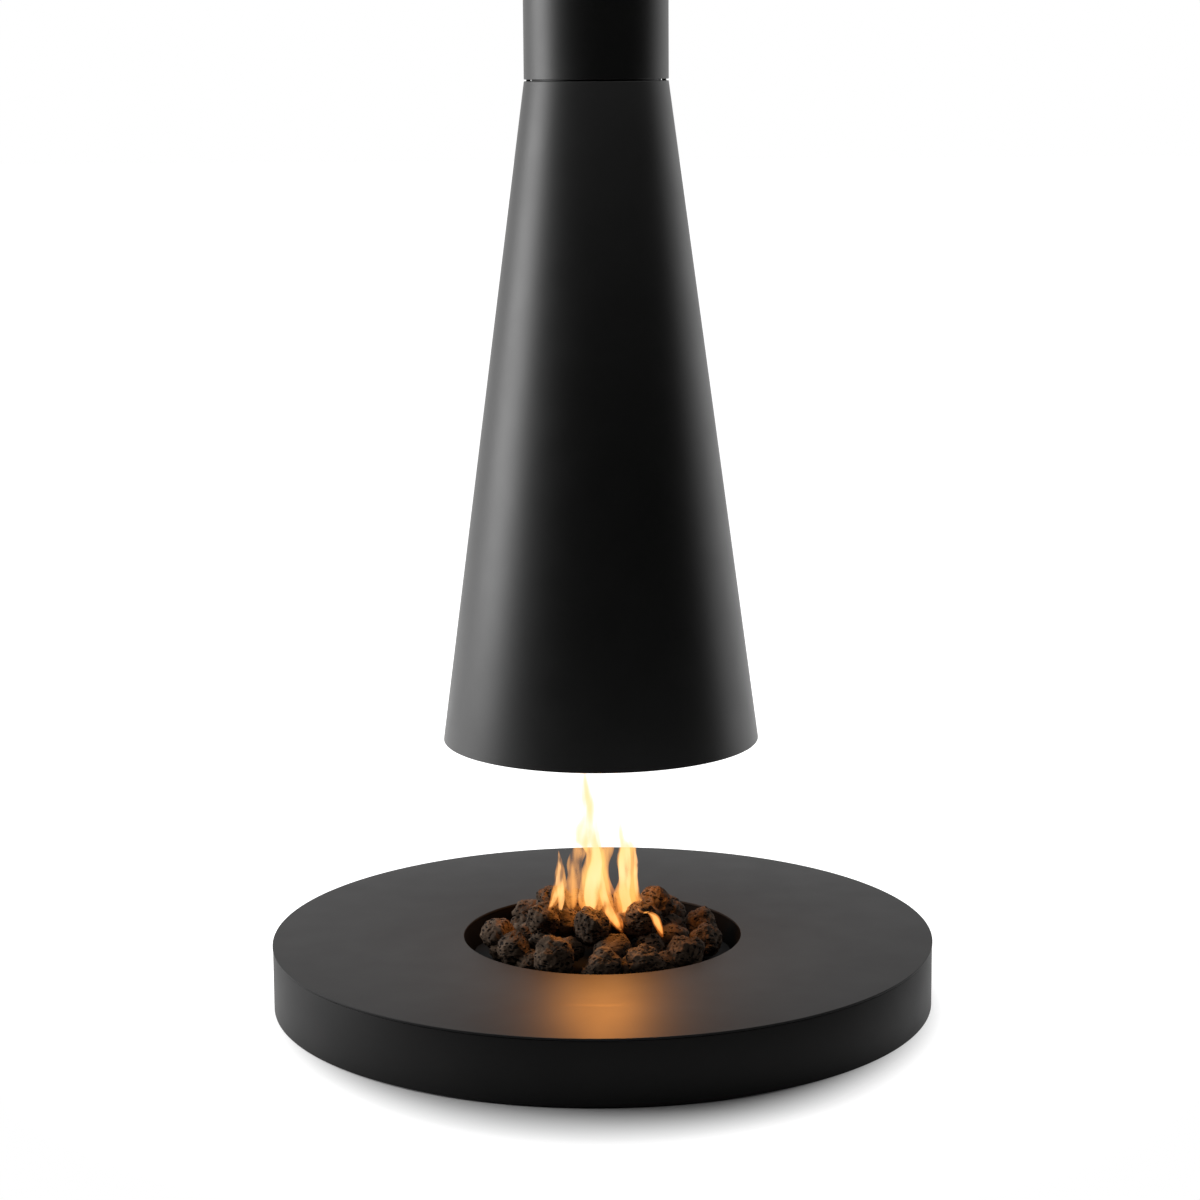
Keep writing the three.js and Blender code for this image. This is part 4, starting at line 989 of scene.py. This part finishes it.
canopy_low, canopy_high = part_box("ceiling_canopy")
canopy_radius = canopy_high.x
canopy_sheet = 0.0015
canopy_rim = 0.008
canopy_gap = 0.0003
canopy_hole = cover_radius + canopy_gap
turned(
    "canopy",
    [
        (canopy_hole, canopy_low.z),
        *rounded(canopy_radius, canopy_low.z, canopy_rim, 3, 8),
        (canopy_radius, canopy_high.z),
        (canopy_radius - canopy_sheet, canopy_high.z),
        (canopy_radius - canopy_sheet, canopy_low.z + canopy_rim),
        (canopy_radius - canopy_rim, canopy_low.z + canopy_sheet),
        (canopy_hole, canopy_low.z + canopy_sheet),
    ],
    hood_paint,
    "root",
    ["ceiling_canopy"],
)


# ---------- metal and plastic of the hidden parts ----------
# Folded zinc plated sheet, brushed stainless pipe, cast alloy bodies, brass fittings, moulded
# plastic and a woven rope seal. These pieces keep the shape of the frame, but for two round ones.


def plain_metal(name, dark, light, rough, grain_scale, stretch):
    made, tree, surface, _ = material(name)
    where = object_coordinates(tree)
    mapping = tree.nodes.new("ShaderNodeMapping")
    mapping.inputs["Scale"].default_value = stretch
    tree.links.new(where, mapping.inputs["Vector"])
    grain = texture(tree, "ShaderNodeTexNoise", mapping.outputs["Vector"], grain_scale, Detail=5.0)
    cloud = texture(tree, "ShaderNodeTexNoise", where, 8.0, Detail=4.0)
    tree.links.new(ramp(tree, cloud.outputs["Fac"], 0.3, 0.7, dark, light), surface.inputs["Base Color"])
    roughness = spread(tree, grain.outputs["Fac"], rough - 0.1, rough + 0.1)
    tree.links.new(roughness, surface.inputs["Roughness"])
    surface.inputs["Metallic"].default_value = 1.0
    bumped(tree, surface, grain.outputs["Fac"], 0.1, 0.0003)
    return made


def moulded(name, dark, light, rough):
    made, tree, surface, _ = material(name)
    where = object_coordinates(tree)
    fine = texture(tree, "ShaderNodeTexNoise", where, 700.0, Detail=3.0)
    tree.links.new(ramp(tree, fine.outputs["Fac"], 0.3, 0.7, dark, light), surface.inputs["Base Color"])
    roughness = spread(tree, fine.outputs["Fac"], rough - 0.08, rough + 0.08)
    tree.links.new(roughness, surface.inputs["Roughness"])
    bumped(tree, surface, fine.outputs["Fac"], 0.15, 0.0002)
    return made


zinc_dark = (0.3, 0.31, 0.32)
zinc_light = (0.42, 0.43, 0.44)
stainless_dark = (0.55, 0.54, 0.52)
stainless_light = (0.64, 0.63, 0.61)
brass_dark = (0.6, 0.45, 0.18)
brass_light = (0.72, 0.56, 0.25)
alloy_dark = (0.4, 0.41, 0.42)
alloy_light = (0.52, 0.53, 0.54)
brushed = (1, 1, 12)
even = (1, 1, 1)

finishes = {
    "zinc_steel": plain_metal("zinc_steel", zinc_dark, zinc_light, 0.5, 60, even),
    "stainless_steel": plain_metal("stainless_steel", stainless_dark, stainless_light, 0.32, 90, brushed),
    "brass": plain_metal("brass", brass_dark, brass_light, 0.3, 200, even),
    "cast_alloy": plain_metal("cast_alloy", alloy_dark, alloy_light, 0.5, 500, even),
    "electrode_ceramic": moulded("electrode_ceramic", (0.8, 0.78, 0.73), (0.88, 0.86, 0.81), 0.4),
    "seal_rope": moulded("seal_rope", (0.2, 0.2, 0.2), (0.34, 0.34, 0.33), 0.9),
    "black_plastic": moulded("black_plastic", (0.02, 0.02, 0.02), (0.035, 0.035, 0.035), 0.5),
    "red_plastic": moulded("red_plastic", (0.42, 0.04, 0.025), (0.55, 0.06, 0.035), 0.35),
    "red_paint": moulded("red_paint", (0.42, 0.04, 0.025), (0.55, 0.06, 0.035), 0.4),
    "hearth_paint": hearth_paint,
    "hood_paint": hood_paint,
    "heat_paint": heat_paint,
    "lava_rock": lava_rock,
}
for part in frame["record"]["subparts"]:
    node = frame["nodes"][part["node"]]
    node.data.materials.clear()
    node.data.materials.append(finishes[part["material_slot"]])

plinth_width = 0.06
flue_sheet = 0.0015
round_pieces = (("plinth_ring", "zinc_steel", plinth_width), ("inner_flue", "stainless_steel", flue_sheet))
for node, slot_name, wall in round_pieces:
    low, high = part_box(node)
    turned(
        f"{node}_round",
        [(high.x - wall, low.z), (high.x, low.z), (high.x, high.z), (high.x - wall, high.z)],
        finishes[slot_name],
        "root",
        [node],
    )


# ---------- lifting cables ----------
# Two four millimetre wire ropes that rise from the collar, turn over their pulleys and wind onto the
# spools of the winch. They stay upright and taut while the hood goes up and down.

cable_radius = 0.002
cable_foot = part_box("lift_cable_right")[0].z
pulley_place = (0.157, 0.022, 2.687)
pulley_pitch = 0.022
spool_place = (0.178, 2.681)
spool_pitch = 0.028
winding_pitch = 0.0048
winding_turns = 2
riser_steps = 40
quarter_steps = 8
turn_steps = 48
strand_sides = 10


def cable_route(side):
    """Up from the lug, a quarter turn over the pulley, then round the spool towards the middle."""
    route = []
    x = side * pulley_place[0]
    for i in range(riser_steps):
        route.append(Vector((x, 0, cable_foot + (pulley_place[2] - cable_foot) * i / riser_steps)))
    for i in range(quarter_steps + 1):
        angle = math.pi - math.pi / 2 * i / quarter_steps
        y = pulley_place[1] + pulley_pitch * math.cos(angle)
        route.append(Vector((x, y, pulley_place[2] + pulley_pitch * math.sin(angle))))
    for i in range(1, (turn_steps + 1) * winding_turns):
        share = i / (turn_steps * winding_turns)
        angle = math.pi / 2 - 2 * math.pi * winding_turns * share
        across = side * (pulley_place[0] - winding_pitch * winding_turns * share)
        y = spool_place[0] + spool_pitch * math.cos(angle)
        route.append(Vector((across, y, spool_place[1] + spool_pitch * math.sin(angle))))
    return route


for side, name in ((-1, "left"), (1, "right")):
    route = cable_route(side)
    mesh = bmesh.new()
    rings = []
    for i, point in enumerate(route):
        ahead = route[min(i + 1, len(route) - 1)] - route[max(i - 1, 0)]
        across = ahead.cross(Vector((1, 0, 0))).normalized()
        over = ahead.cross(across).normalized()
        around = []
        for k in range(strand_sides):
            angle = 2 * math.pi * k / strand_sides
            outward = math.cos(angle) * across + math.sin(angle) * over
            around.append(mesh.verts.new(point + cable_radius * outward))
        rings.append(around)
    for one, two in zip(rings, rings[1:]):
        for k in range(strand_sides):
            j = (k + 1) % strand_sides
            mesh.faces.new((one[k], one[j], two[j], two[k]))
    mesh.faces.new(rings[0])
    mesh.faces.new(rings[-1])
    bmesh.ops.recalc_face_normals(mesh, faces=mesh.faces)
    data = bpy.data.meshes.new(f"cable_{name}")
    mesh.to_mesh(data)
    mesh.free()
    for face in data.polygons:
        face.use_smooth = True
    cable = bpy.data.objects.new(f"cable_{name}", data)
    scene.collection.objects.link(cable)
    data.materials.append(finishes["stainless_steel"])
    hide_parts(f"lift_cable_{name}")
    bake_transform(cable)
